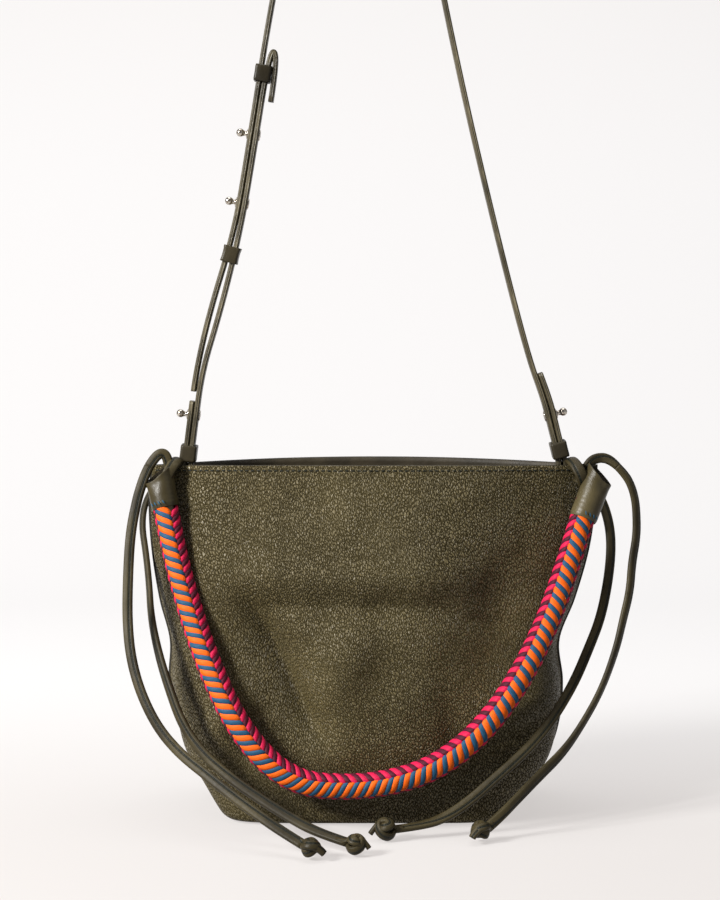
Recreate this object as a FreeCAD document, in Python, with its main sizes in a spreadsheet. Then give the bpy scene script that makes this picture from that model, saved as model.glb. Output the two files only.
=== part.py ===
import FreeCAD, Part
import math
import os
import Sketcher

# A soft leather bucket bag: sagging body on a boxed base, rolled and braided shoulder handle tied to the rim
# by folded laces, and a long crossbody strap on ball studs.
# Row frame: X across the bag, Y from front to back, Z up; the origin is the middle of the resting face.

DOC = FreeCAD.newDocument("bucket_bag")
SHEET = DOC.addObject("Spreadsheet::Sheet", "sizes")
VEC = FreeCAD.Vector
X_AXIS, Y_AXIS, Z_AXIS = VEC(1, 0, 0), VEC(0, 1, 0), VEC(0, 0, 1)
SIDES = (("left", -1), ("right", 1))

# name, millimetres (powers are plain ratios), meaning
SIZES = [
    ("leather", 2.2, "body leather"),
    ("seam_half", 0.6, "half the piping between front and back at each side"),
    ("seam_proud", 2.5, "how far the side piping stands out"),
    ("soft_gap", 0.3, "clearance between soft neighbours"),
    ("base_thick", 2.4, "base leather"),
    ("base_reach", 104, "half length of the base"),
    ("base_depth", 65, "half depth of the base"),
    ("base_corner", 36, "corner radius of the base"),
    ("base_welt", 1.0, "base edge outside the walls"),
    ("board_thick", 2.0, "stiffener board"),
    ("board_margin", 6, "board edge inside the base edge"),
    ("rim_height", 272, "rim above the floor"),
    ("facing_drop", 28, "depth of the facing inside the rim"),
    ("facing_thick", 1.2, "facing leather"),
    ("facing_inset", 38, "facing ends this far inside the rim's corners"),
    ("strap_wide", 15, "crossbody strap width"),
    ("strap_thick", 4.0, "crossbody strap, folded and stitched"),
    ("layer_gap", 0.5, "gap between two strap layers"),
    ("strap_foot_share", 0.8391, "strap line's foot from the middle, as a share of the rim's reach"),
    ("strap_foot_rise", 12, "strap line's foot above the rim"),
    ("knee_rise", 3, "each strap root turns upright this far above the rim"),
    ("anchor_setback", 1.8, "strap centre behind the side seams"),
    ("flex_rise", 27, "strap flexes this far above the rim"),
    ("apex_height", 896, "top of the strap centreline"),
    ("apex_shift", -8, "strap top off the middle"),
    ("apex_half", 14, "half length of the strap's flat top"),
    ("ring_wire", 2.0, "anchor ring, square wire"),
    ("ring_hole", 9, "height of the anchor ring's hole"),
    ("ring_drop", 5.4, "top of the anchor ring below the rim"),
    ("tab_wide", 10, "anchor tab width"),
    ("tab_thick", 5, "anchor tab, two layers"),
    ("tab_foot_drop", 67, "anchor tab's bend at the side seam, below the rim"),
    ("tab_lean", 5, "anchor tab's lower end nearer the middle"),
    ("lap_drop", 8, "long strap's lower end over the short strap's tail"),
    ("tail_rise", 60, "long strap's folded tail above the foot"),
    ("lap_rise", 38, "short strap's tail above the foot"),
    ("fold_rise", 310, "short strap's fold above the foot"),
    ("fold_tail", 38, "short strap's end below its fold"),
    ("keeper_wall", 2.0, "keeper leather"),
    ("keeper_play", 0.3, "keeper clearance on the strap"),
    ("keeper_tall", 13, "keeper length along the strap"),
    ("low_keeper_rise", -0.2, "middle of the end keepers above the foot"),
    ("mid_keeper_rise", 153, "middle keeper above the foot"),
    ("top_keeper_rise", 293, "top keeper above the foot"),
    ("stud_ball", 3.25, "ball radius of a stud"),
    ("stud_neck", 1.7, "neck radius of a stud"),
    ("stud_foot", 4.2, "foot radius of a stud"),
    ("stud_foot_thick", 1.2, "foot thickness"),
    ("stud_neck_long", 1.6, "neck between foot and ball"),
    ("screw_head", 4.4, "radius of the stud's screw head"),
    ("screw_head_thick", 1.2, "screw head thickness"),
    ("stud_play", 0.1, "stud post clearance in the strap"),
    ("stud_seat", 0.02, "foot and screw head clear of the strap's faces"),
    ("end_stud_rise", 27, "end studs above the foot"),
    ("low_stud_rise", 193, "lower strap stud above the foot"),
    ("high_stud_rise", 246, "upper strap stud above the foot"),
    ("braid_radius", 10, "outside of the braid"),
    ("core_radius", 6.7, "rope core"),
    ("braid_bore", 7.0, "inside of the braid"),
    ("handle_low_x", -32, "lowest point of the handle, off the middle"),
    ("handle_low_z", 34.5, "height of the handle's lowest centre"),
    ("handle_lie", 2.6, "handle clear of the front"),
    ("sleeve_wall", 2.2, "handle sleeve leather"),
    ("sleeve_beside", 19, "sleeve eye outside the lace hole"),
    ("sleeve_forward", 19, "sleeve eye in front of the side seams"),
    ("eye_drop", 10, "sleeve eye below the rim"),
    ("sleeve_below", 34, "sleeve below its eye"),
    ("sleeve_above", 9, "sleeve above its eye"),
    ("braid_end_drop", 11, "braid's end below the eye"),
    ("handle_straight", 50, "the handle runs straight this far below the eye"),
    ("handle_lean", 19, "how far that stretch leans towards the middle"),
    ("handle_slant", 14, "how far it leans to the front"),
    ("lace_radius", 3.25, "folded lace, as a round of like size"),
    ("lace_play", 0.7, "lace clearance in a punched hole"),
    ("lace_hole_beside", 12, "lace hole outside the strap line's foot"),
    ("lace_stand", 4, "lace ends proud of the bag"),
    ("knot_radius", 8.5, "overhand knot"),
    ("knot_tip", 7, "lace end beyond its knot"),
    ("knot_stretch", 1.15, "knot's length over its width"),
    ("knot_seat", 0.7, "knot's middle beyond the tail, as a share of its radius"),
    ("tip_slope", 0.25, "how steeply the lace end points down"),
]

# level, height and half width as shares of the rim's, front depth, back depth, power along X, power along Y
LEVELS = [
    ("foot", 0.0441, 0.632, 67, 67, 0.46, 0.46),
    ("crease", 0.0735, 0.695, 71, 70, 0.52, 0.52),
    ("belly", 0.1544, 0.816, 79, 76, 0.62, 0.60),
    ("hip", 0.2574, 0.862, 81, 78, 0.70, 0.70),
    ("middle", 0.3676, 0.885, 80, 77, 0.75, 0.80),
    ("waist", 0.4853, 0.879, 75, 72, 0.80, 0.90),
    ("chest", 0.6066, 0.940, 68, 67, 0.85, 1.10),
    ("shoulder", 0.7537, 0.977, 57, 58, 0.92, 1.45),
    ("collar", 0.8934, 0.994, 43, 51, 1.00, 1.80),
]
LEVEL_PARTS = ("height", "reach", "front", "back", "power_x", "power_y")
BASE_POWER = 0.42
# low, so that the walls do not swing wide between two sections
LOFT_DEGREE = 2
OUTLINE_STEPS = 24
# share of the shorter run that an arc takes: in a cord, in a lace's short loop, at the strap's folds
ARC_SHARE = 0.45
LOOP_SHARE = 0.25
FOLD_SHARE = 0.49
RIM = {"reach": 174, "front": 33, "back": 47, "power_x": 1.0, "power_y": 2.0}


def fill_sheet():
    """Write every size into the sheet, with its alias."""
    rows = list(SIZES)
    for level in LEVELS:
        for part, value in zip(LEVEL_PARTS, level[1:]):
            rows.append((level[0] + "_" + part, value, level[0] + " of the body"))
    for part, value in RIM.items():
        rows.append(("rim_" + part, value, "rim of the body"))
    rows.append(("base_power", BASE_POWER, "squareness of the base"))
    for index, (name, value, meaning) in enumerate(rows, start=1):
        SHEET.set("A%d" % index, name)
        SHEET.set("B%d" % index, str(value))
        SHEET.set("C%d" % index, meaning)
        SHEET.setAlias("B%d" % index, name)
    DOC.recompute()


def size(name):
    """One size from the sheet."""
    return float(SHEET.get(name))


fill_sheet()
RIM_REACH = size("rim_reach")
STRAP_FOOT_REACH = RIM_REACH * size("strap_foot_share")
LACE_HOLE_REACH = STRAP_FOOT_REACH + size("lace_hole_beside")
SLEEVE_REACH = LACE_HOLE_REACH + size("sleeve_beside")
FOOT_HEIGHT = size("rim_height") + size("strap_foot_rise")
FLEX_HEIGHT = size("rim_height") + size("flex_rise")
EYE_HEIGHT = size("rim_height") - size("eye_drop")
LAYER_STEP = (size("strap_thick") + size("layer_gap")) / 2
PARTS = []


def keep(obj, label):
    """Name a finished sub-part; its label is its file name."""
    obj.Label = label
    PARTS.append(obj)
    return obj


def feature(label, shape):
    """A sub-part whose shape is made here from the sheet's sizes."""
    obj = DOC.addObject("Part::Feature", label + "_shape")
    obj.Shape = shape
    return keep(obj, label)


# ---------------------------------------------------------------- body


def level_rows():
    """Height and outline values of every section, from base to rim."""
    rows = [
        {
            "height": size("base_thick"),
            "reach": size("base_reach"),
            "front": size("base_depth"),
            "back": size("base_depth"),
            "power_x": size("base_power"),
            "power_y": size("base_power"),
        }
    ]
    for level in LEVELS:
        row = {part: size(level[0] + "_" + part) for part in LEVEL_PARTS}
        row["height"] *= size("rim_height")
        row["reach"] *= size("rim_reach")
        rows.append(row)
    rim = {part: size("rim_" + part) for part in RIM}
    rim["height"] = size("rim_height")
    rows.append(rim)
    return rows


def level_at(height):
    """Outline values at any height, straight between two sections."""
    rows = level_rows()
    for low, high in zip(rows, rows[1:]):
        if height <= high["height"]:
            break
    share = (height - low["height"]) / (high["height"] - low["height"])
    share = max(0.0, min(1.0, share))
    return {key: low[key] + share * (high[key] - low[key]) for key in low}


def wall_curve(row, depth, inset, height, facing):
    """Points of one half outline, from the right side to the left; facing is -1 in front and 1 behind."""
    reach = row["reach"] - inset
    step = size("seam_half") + size("leather") - inset
    span = depth - size("seam_half") - size("leather")
    points = []
    for index in range(OUTLINE_STEPS + 1):
        angle = math.pi * index / OUTLINE_STEPS
        cos, sin = math.cos(angle), max(0.0, math.sin(angle))
        x = math.copysign(abs(cos) ** row["power_x"], cos) * reach
        y = step + span * sin ** row["power_y"]
        points.append(VEC(x, facing * y, height))
    return points


def half_section(row, side, outer_inset, inner_inset, height):
    """Closed wire round the cut edge of one leather half."""
    facing = -1 if side == "front" else 1
    outer = wall_curve(row, row[side], outer_inset, height, facing)
    inner = wall_curve(row, row[side], inner_inset, height, facing)
    seam_y = facing * (size("seam_half") + size("leather") - inner_inset)
    curves = []
    for points in (outer, inner[::-1]):
        curve = Part.BSplineCurve()
        curve.interpolate(Points=points, Parameters=[float(i) for i in range(len(points))])
        curves.append(curve.toShape())
    out_left, in_left = outer[-1], inner[-1]
    out_right, in_right = outer[0], inner[0]
    corner_left = VEC(out_left.x, seam_y, height)
    corner_right = VEC(out_right.x, seam_y, height)
    edges = [
        curves[0],
        Part.makeLine(out_left, corner_left),
        Part.makeLine(corner_left, in_left),
        curves[1],
        Part.makeLine(in_right, corner_right),
        Part.makeLine(corner_right, out_right),
    ]
    return Part.Wire(edges)


def half_wall(side, outer_inset, inner_inset, bottom, top):
    """Loft one leather half between two heights."""
    heights = [row["height"] for row in level_rows()]
    heights = [bottom] + [h for h in heights if bottom + 1 < h < top - 1] + [top]
    wires = [half_section(level_at(h), side, outer_inset, inner_inset, h) for h in heights]
    return Part.makeLoft(wires, True, False, False, LOFT_DEGREE)


def punched(shape, x, z):
    """Cut the lace hole, which runs along Y."""
    radius = size("lace_radius") + size("lace_play")
    deep = size("base_depth")
    hole = Part.makeCylinder(radius, 2 * deep, VEC(x, -deep, z), Y_AXIS)
    return shape.cut(hole)


def body_walls():
    """Front and back leather, the facing inside the rim and the piping at the sides."""
    wall = size("leather")
    for side in ("front", "back"):
        shape = half_wall(side, 0, wall, size("base_thick"), size("rim_height"))
        for _, sign in SIDES:
            shape = punched(shape, sign * LACE_HOLE_REACH, EYE_HEIGHT)
        feature(side + "_panel", shape)
    for side in ("front", "back"):
        outer = wall + size("soft_gap")
        inner = outer + size("facing_thick")
        shape = half_wall(side, outer, inner, size("base_thick"), size("rim_height"))
        reach, depth, drop = RIM_REACH - size("facing_inset"), size("base_depth"), size("facing_drop")
        corner = VEC(-reach, -depth, size("rim_height") - drop)
        trim = Part.makeBox(2 * reach, 2 * depth, 2 * drop, corner)
        feature(side + "_rim_facing", shape.common(trim))
    for name, sign in SIDES:
        feature("side_piping_" + name, piping(sign))


def piping(sign):
    """The flat strip caught between front and back down one side."""
    heights = [row["height"] for row in level_rows()]
    rows = [level_at(h) for h in heights]
    proud, wall = size("seam_proud"), size("leather")
    outer, inner = Part.BSplineCurve(), Part.BSplineCurve()
    y = -size("seam_half")
    out_points = [VEC(sign * (r["reach"] + proud), y, h) for r, h in zip(rows, heights)]
    in_points = [VEC(sign * (r["reach"] - wall), y, h) for r, h in zip(rows, heights)]
    outer.interpolate(out_points)
    inner.interpolate(in_points)
    wire = Part.Wire(
        [
            outer.toShape(),
            Part.makeLine(out_points[-1], in_points[-1]),
            inner.toShape(),
            Part.makeLine(in_points[0], out_points[0]),
        ]
    )
    return Part.Face(wire).extrude(VEC(0, 2 * size("seam_half"), 0))


# ---------------------------------------------------------------- sketched plates and loops


def plane_of(body, role):
    """One of the body's own origin planes."""
    return [o for o in body.Origin.OriginFeatures if o.Role == role][0]


def rounded_rectangle(sketch, half_x, half_y, radius):
    """Add a centred rounded rectangle whose three sizes are expressions."""
    first = sketch.GeometryCount
    hx, hy, r = 20.0, 12.0, 2.0
    up = Z_AXIS
    quarter = math.pi / 2

    def arc(cx, cy, start):
        circle = Part.Circle(VEC(cx, cy, 0), up, r)
        return Part.ArcOfCircle(circle, start * quarter, (start + 1) * quarter)

    geometry = [
        Part.LineSegment(VEC(r - hx, -hy, 0), VEC(hx - r, -hy, 0)),
        arc(hx - r, r - hy, 3),
        Part.LineSegment(VEC(hx, r - hy, 0), VEC(hx, hy - r, 0)),
        arc(hx - r, hy - r, 0),
        Part.LineSegment(VEC(hx - r, hy, 0), VEC(r - hx, hy, 0)),
        arc(r - hx, hy - r, 1),
        Part.LineSegment(VEC(-hx, hy - r, 0), VEC(-hx, r - hy, 0)),
        arc(r - hx, r - hy, 2),
    ]
    sketch.addGeometry(geometry, False)
    add = sketch.addConstraint
    for index in range(8):
        after = first + (index + 1) % 8
        add(Sketcher.Constraint("Tangent", first + index, 2, after, 1))
    add(Sketcher.Constraint("Horizontal", first + 4))
    add(Sketcher.Constraint("Vertical", first + 6))
    for index in (3, 5, 7):
        add(Sketcher.Constraint("Equal", first + 1, first + index))
    add(Sketcher.Constraint("Symmetric", first, 1, first, 2, -2))
    add(Sketcher.Constraint("Symmetric", first + 2, 1, first + 2, 2, -1))
    bound = [
        (add(Sketcher.Constraint("Radius", first + 1, r)), radius),
        (add(Sketcher.Constraint("DistanceX", first + 6, 1, first + 2, 1, 2 * hx)), "2 * (%s)" % half_x),
        (add(Sketcher.Constraint("DistanceY", first, 1, first + 4, 2, 2 * hy)), "2 * (%s)" % half_y),
    ]
    for constraint, expression in bound:
        sketch.setExpression("Constraints[%d]" % constraint, expression)


def plate(label, outlines, thick):
    """A PartDesign body: one sketch of rounded rectangles, padded by an expression."""
    body = DOC.addObject("PartDesign::Body", label + "_body")
    sketch = body.newObject("Sketcher::SketchObject", label + "_outline")
    sketch.AttachmentSupport = [(plane_of(body, "XY_Plane"), "")]
    sketch.MapMode = "FlatFace"
    for outline in outlines:
        rounded_rectangle(sketch, *outline)
    pad = body.newObject("PartDesign::Pad", label + "_pad")
    pad.Profile = sketch
    pad.setExpression("Length", thick)
    return keep(body, label)


def base_plates():
    """The base leather and the stiffener board that lies on it."""
    grown = "sizes.base_corner + sizes.base_welt"
    plate(
        "base_panel",
        [("sizes.base_reach + sizes.base_welt", "sizes.base_depth + sizes.base_welt", grown)],
        "sizes.base_thick",
    )
    board = plate(
        "base_board",
        [
            (
                "sizes.base_reach - sizes.board_margin",
                "sizes.base_depth - sizes.board_margin",
                "sizes.base_corner - sizes.board_margin",
            )
        ],
        "sizes.board_thick",
    )
    board.setExpression("Placement.Base.z", "sizes.base_thick")


# ---------------------------------------------------------------- crossbody strap

# share of the way from foot to top, and how far the strap bows towards the middle there
RIGHT_LIE = [(0.065, 1.2), (0.12, 6.0), (0.28, 9.5), (0.50, 11.0), (0.78, 6.5)]
LEFT_LIE = [(0.10, -4.3), (0.28, 4.2), (0.375, 2.6), (0.57, -2.2), (0.80, -1.0)]
BEND_SHARE = 0.12
KNEE_SHARE = 0.2


def strap_line(sign):
    """Centre line of one side in the XZ plane, from its foot to the top."""
    foot = (sign * STRAP_FOOT_REACH, FOOT_HEIGHT)
    top = (size("apex_shift") + sign * size("apex_half"), size("apex_height"))
    points = [foot]
    for share, bow in RIGHT_LIE if sign > 0 else LEFT_LIE:
        x = foot[0] + share * (top[0] - foot[0]) - sign * bow
        points.append((x, foot[1] + share * (top[1] - foot[1])))
    points.append(top)
    return points


def clip_line(points, low, high):
    """The part of a rising line between two heights."""

    def at(height):
        for a, b in zip(points, points[1:]):
            if a[1] <= height <= b[1]:
                share = (height - a[1]) / (b[1] - a[1])
                return (a[0] + share * (b[0] - a[0]), height)
        return points[-1]

    kept = [p for p in points if low + 1 < p[1] < high - 1]
    return [at(low)] + kept + [at(high)]


def unit(dx, dz):
    """Length one, same direction."""
    length = math.hypot(dx, dz)
    return dx / length, dz / length


def strap_spans(points, setbacks):
    """Straight spans and tangent arcs of a line: start, middle (of an arc) and end, each with its normal."""
    spans = []
    start = points[0]
    for index in range(1, len(points) - 1):
        corner = points[index]
        d1 = unit(corner[0] - points[index - 1][0], corner[1] - points[index - 1][1])
        d2 = unit(points[index + 1][0] - corner[0], points[index + 1][1] - corner[1])
        n1, n2 = (d1[1], -d1[0]), (d2[1], -d2[0])
        back = setbacks[index - 1]
        t1 = (corner[0] - d1[0] * back, corner[1] - d1[1] * back)
        t2 = (corner[0] + d2[0] * back, corner[1] + d2[1] * back)
        half = math.acos(max(-1.0, min(1.0, d1[0] * d2[0] + d1[1] * d2[1]))) / 2
        radius = back / math.tan(half)
        side = 1 if d1[0] * d2[1] - d1[1] * d2[0] < 0 else -1
        nm = unit(n1[0] + n2[0], n1[1] + n2[1])
        centre = (t1[0] + side * n1[0] * radius, t1[1] + side * n1[1] * radius)
        middle = (centre[0] - side * nm[0] * radius, centre[1] - side * nm[1] * radius)
        spans.append(((start, n1), None, (t1, n1)))
        spans.append(((t1, n1), (middle, nm), (t2, n2)))
        start = t2
    last = unit(points[-1][0] - points[-2][0], points[-1][1] - points[-2][1])
    normal = (last[1], -last[0])
    spans.append(((start, normal), None, (points[-1], normal)))
    return spans


def ribbon(points, shift, thick, wide, setbacks=None):
    """A strap layer of the given thickness beside a line, as wide along Y as told; shift is towards +X."""
    spans = strap_spans(points, setbacks or bends(points))
    y = size("anchor_setback") - wide / 2

    def moved(anchor, distance):
        (x, z), (nx, nz) = anchor
        return VEC(x + nx * distance, y, z + nz * distance)

    def edges(distance):
        made = []
        for start, middle, end in spans:
            a, b = moved(start, distance), moved(end, distance)
            if middle is None:
                made.append(Part.makeLine(a, b))
            else:
                made.append(Part.Arc(a, moved(middle, distance), b).toShape())
        return made

    low, high = shift - thick / 2, shift + thick / 2
    start, end = spans[0][0], spans[-1][2]
    outline = edges(low) + [Part.makeLine(moved(end, low), moved(end, high))]
    outline += edges(high)[::-1] + [Part.makeLine(moved(start, high), moved(start, low))]
    wire = Part.Wire(Part.__sortEdges__(outline))
    return Part.Face(wire).extrude(VEC(0, wide, 0))


def rounded_foot(points):
    """Half-round lower end of a layer, centred on the flex line, so that it clears what is below."""
    dx, dz = unit(points[1][0] - points[0][0], points[1][1] - points[0][1])
    normal = VEC(dz, 0, -dx)
    centre = VEC(points[0][0], size("anchor_setback"), points[0][1])
    start = centre - normal * (size("strap_thick") / 2)
    return Part.makeCylinder(size("strap_wide") / 2, size("strap_thick"), start, normal)


def place_on(sign, rise):
    """Point and directions of the strap line at a height above its foot: centre, across, along."""
    line = strap_line(sign)
    height = FOOT_HEIGHT + rise
    for a, b in zip(line, line[1:]):
        if height <= b[1]:
            break
    share = (height - a[1]) / (b[1] - a[1])
    dx, dz = unit(b[0] - a[0], b[1] - a[1])
    centre = VEC(a[0] + share * (b[0] - a[0]), size("anchor_setback"), height)
    return centre, VEC(dz, 0, -dx), VEC(dx, 0, dz)


STUDS = (
    ("end_stud_right", 1, "end_stud_rise"),
    ("end_stud_left", -1, "end_stud_rise"),
    ("low_stud_left", -1, "low_stud_rise"),
    ("high_stud_left", -1, "high_stud_rise"),
)


def stud_holes(shape, sign):
    """Cut the studs' post holes through one side's strap layers."""
    radius = size("stud_neck") + size("stud_play")
    for _, stud_sign, rise in STUDS:
        if stud_sign == sign:
            centre, across, _ = place_on(sign, size(rise))
            deep = 4 * size("strap_thick")
            hole = Part.makeCylinder(radius, 2 * deep, centre - across * deep, across)
            shape = shape.cut(hole)
    return shape


def beside(points, shift):
    """The same line, moved along X."""
    return [(x + shift, z) for x, z in points]


def footed(line, setbacks=None):
    """A strap layer whose first point is at the flex line, with its rounded foot."""
    layer = ribbon(line, 0, size("strap_thick"), size("strap_wide"), setbacks)
    return layer.fuse(rounded_foot(line)).removeSplitter()


def bends(line):
    """How far each bend of a gently curved line sets back from its corner."""
    runs = [math.dist(a, b) for a, b in zip(line, line[1:])]
    return [BEND_SHARE * min(a, b) for a, b in zip(runs, runs[1:])]


def strap_pieces():
    """The long strap over the top, its folded tail, and the short strap that the studs and keepers hold."""
    right, left = strap_line(1), strap_line(-1)
    # one line from the right flex line, up over the top and down to the left end
    lap = FOOT_HEIGHT + size("lap_rise") + size("lap_drop")
    up = clip_line(right, FLEX_HEIGHT, size("apex_height"))
    line = beside(up + clip_line(left, lap, size("apex_height"))[::-1], -LAYER_STEP)
    setbacks = bends(line)
    top = len(up) - 1
    setbacks[top - 1] = setbacks[top] = ARC_SHARE * math.dist(line[top], line[top + 1])
    feature("long_strap", stud_holes(stud_holes(footed(line, setbacks), 1), -1))

    tail = clip_line(right, FLEX_HEIGHT, FOOT_HEIGHT + size("tail_rise"))
    feature("long_strap_tail", stud_holes(footed(beside(tail, LAYER_STEP)), 1))
    tail = clip_line(left, FLEX_HEIGHT, FOOT_HEIGHT + size("lap_rise"))
    feature("short_strap_tail", stud_holes(footed(beside(tail, -LAYER_STEP)), -1))

    # the short strap runs up inside the long one, folds over the top keeper and ends outside it
    run = beside(clip_line(left, FLEX_HEIGHT, FOOT_HEIGHT + size("fold_rise")), LAYER_STEP)
    step = size("strap_thick") + 2 * size("keeper_play") + size("keeper_wall") + size("layer_gap")
    _, across, along = place_on(-1, size("fold_rise"))
    fold = VEC(run[-1][0], 0, run[-1][1]) + across * step
    end = fold - along * size("fold_tail")
    line = run + [(fold.x, fold.z), (end.x, end.z)]
    setbacks = bends(line)
    setbacks[-2] = setbacks[-1] = FOLD_SHARE * step
    feature("short_strap", stud_holes(footed(line, setbacks), -1))


def root_line(sign):
    """Centre line of a strap root and its fold: knee point, and the point where it meets the flex gap."""
    foot, above = strap_line(sign)[:2]
    dx, dz = unit(above[0] - foot[0], above[1] - foot[1])
    knee = size("rim_height") + size("knee_rise")
    knee_x = foot[0] - dx / dz * (foot[1] - knee)
    top = FLEX_HEIGHT - size("strap_wide") / 2 - size("strap_thick") * abs(dx)
    top -= 2 * size("soft_gap")
    return (knee_x, knee), (foot[0] + dx / dz * (top - foot[1]), top)


def strap_anchors():
    """At each side: the strap's folded root, its ring, and the tab that ties the ring to the side."""
    wire, wide, thick = size("ring_wire"), size("strap_wide"), size("strap_thick")
    ring_top = size("rim_height") - size("ring_drop")
    spread = (wire + thick) / 2 + size("soft_gap")
    fold = ring_top - wire - 3 * size("soft_gap") - thick / 2
    straight = ring_top + 2 * size("soft_gap")
    walls = [obj.Shape for obj in PARTS if obj.Label in ("front_panel", "back_panel")]
    for name, sign in SIDES:
        (x, knee), (top_x, top) = root_line(sign)
        step = LAYER_STEP
        leg = [(top_x - step, top), (x - step, knee), (x - spread, straight), (x - spread, fold)]
        other = [(x + spread, fold), (x + spread, straight), (x + step, knee), (top_x + step, top)]
        turn = 2 * FOLD_SHARE * spread
        ease = KNEE_SHARE * (knee - straight)
        shape = ribbon(leg + other, 0, thick, wide, [ease, ease, turn, turn, ease, ease])
        feature("strap_root_" + name, shape)
        anchor_ring(name, x, ring_top)
        low_bar = ring_top - wire - size("ring_hole") - wire / 2
        height = size("rim_height") - size("tab_foot_drop")
        edge = level_at(height)["reach"] - size("leather") - size("soft_gap") - size("tab_thick") / 2
        line = [
            (x, low_bar + wire / 2 + size("soft_gap") + size("leather")),
            (x, low_bar - 2 * wire),
            ((x + sign * edge) / 2, (low_bar + height) / 2),
            (sign * edge, height),
            (sign * (edge - size("tab_lean")), height - 2 * size("tab_wide")),
        ]
        tab = ribbon(line, 0, size("tab_thick"), size("tab_wide"))
        play = size("soft_gap")
        corner = VEC(
            x - wire / 2 - play,
            size("anchor_setback") - size("tab_wide"),
            low_bar - wire / 2 - play,
        )
        slot = Part.makeBox(wire + 2 * play, 2 * size("tab_wide"), wire + 2 * play, corner)
        seam = [obj.Shape for obj in PARTS if obj.Label == "side_piping_" + name]
        feature("anchor_tab_" + name, tab.cut([slot] + walls + seam))


def anchor_ring(name, x, top):
    """Rectangular ring of square wire, made of a block with a window."""
    block = DOC.addObject("Part::Box", "ring_block_" + name)
    window = DOC.addObject("Part::Box", "ring_window_" + name)
    block.setExpression("Length", "sizes.ring_wire")
    block.setExpression("Width", "sizes.strap_wide + 2 * sizes.layer_gap + 2 * sizes.ring_wire")
    block.setExpression("Height", "sizes.ring_hole + 2 * sizes.ring_wire")
    window.setExpression("Length", "2 * sizes.ring_wire")
    window.setExpression("Width", "sizes.strap_wide + 2 * sizes.layer_gap")
    window.setExpression("Height", "sizes.ring_hole")
    wire = size("ring_wire")
    half = size("strap_wide") / 2 + size("layer_gap")
    y = size("anchor_setback") - half
    z = top - wire - size("ring_hole")
    block.Placement.Base = VEC(x - wire / 2, y - wire, z - wire)
    window.Placement.Base = VEC(x - wire, y, z)
    ring = DOC.addObject("Part::Cut", "ring_cut_" + name)
    ring.Base, ring.Tool = block, window
    keep(ring, "anchor_ring_" + name)


def stud(name, sign, rise):
    """A ball stud and its screw, through both strap layers; the ball is on the outer side."""
    centre, across, _ = place_on(sign, size(rise))
    outward = across * sign
    reach = size("strap_thick") + size("layer_gap") / 2
    turn = FreeCAD.Rotation(Z_AXIS, outward)
    foot = DOC.addObject("Part::Cylinder", name + "_foot")
    neck = DOC.addObject("Part::Cylinder", name + "_neck")
    ball = DOC.addObject("Part::Sphere", name + "_ball")
    foot.setExpression("Radius", "sizes.stud_foot")
    foot.setExpression("Height", "sizes.stud_foot_thick")
    neck.setExpression("Radius", "sizes.stud_neck")
    neck.setExpression("Height", "sizes.stud_foot_thick + sizes.stud_neck_long + sizes.stud_ball")
    ball.setExpression("Radius", "sizes.stud_ball")
    face = centre + outward * (reach + size("stud_seat"))
    foot.Placement = FreeCAD.Placement(face, turn)
    neck.Placement = FreeCAD.Placement(face, turn)
    out = size("stud_foot_thick") + size("stud_neck_long") + size("stud_ball")
    ball.Placement = FreeCAD.Placement(face + outward * out, turn)
    head = DOC.addObject("Part::MultiFuse", name + "_fuse")
    head.Shapes = [foot, neck, ball]
    keep(head, name)

    post = DOC.addObject("Part::Cylinder", name + "_post")
    cap = DOC.addObject("Part::Cylinder", name + "_cap")
    post.setExpression("Radius", "sizes.stud_neck")
    post.setExpression("Height", "2 * sizes.strap_thick + sizes.layer_gap")
    cap.setExpression("Radius", "sizes.screw_head")
    cap.setExpression("Height", "sizes.screw_head_thick")
    inner_face = centre - outward * (reach + size("stud_seat"))
    post.Placement = FreeCAD.Placement(inner_face, turn)
    cap.Placement = FreeCAD.Placement(inner_face - outward * size("screw_head_thick"), turn)
    screw = DOC.addObject("Part::MultiFuse", name + "_screw_fuse")
    screw.Shapes = [post, cap]
    keep(screw, name.replace("stud", "screw"))


def keeper(label, sign, rise):
    """A leather loop round two strap layers."""
    play = "sizes.keeper_play"
    inner_x = "sizes.strap_thick + sizes.layer_gap / 2 + " + play
    inner_y = "sizes.strap_wide / 2 + " + play
    body = plate(
        label,
        [
            (
                inner_x + " + sizes.keeper_wall",
                inner_y + " + sizes.keeper_wall",
                "sizes.keeper_wall + " + play,
            ),
            (inner_x, inner_y, play),
        ],
        "sizes.keeper_tall",
    )
    centre, _, along = place_on(sign, size(rise))
    body.Placement = FreeCAD.Placement(
        centre - along * (size("keeper_tall") / 2), FreeCAD.Rotation(Z_AXIS, along)
    )


# ---------------------------------------------------------------- handle and laces


def arc_route(points, label, share=ARC_SHARE):
    """Straight runs joined by tangent arcs; share is how much of the shorter run an arc takes."""
    pts = [VEC(*p) for p in points]
    runs = [(b - a).Length for a, b in zip(pts, pts[1:])]
    edges, radii = [], []
    start = pts[0]
    for index in range(1, len(pts) - 1):
        corner = pts[index]
        d1 = (corner - pts[index - 1]).normalize()
        d2 = (pts[index + 1] - corner).normalize()
        turn = d1.getAngle(d2)
        back = share * min(runs[index - 1], runs[index])
        radius = back / math.tan(turn / 2)
        t1, t2 = corner - d1 * back, corner + d2 * back
        inward = (d2 - d1).normalize()
        centre = corner + inward * (radius / math.cos(turn / 2))
        middle = centre - inward * radius
        edges.append(Part.LineSegment(start, t1).toShape())
        edges.append(Part.Arc(t1, middle, t2).toShape())
        radii.append(round(radius, 1))
        start = t2
    edges.append(Part.LineSegment(start, pts[-1]).toShape())
    wire = Part.Wire(edges)
    print("%s: length %.1f mm, radii %s" % (label, wire.Length, radii))
    return wire


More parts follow.
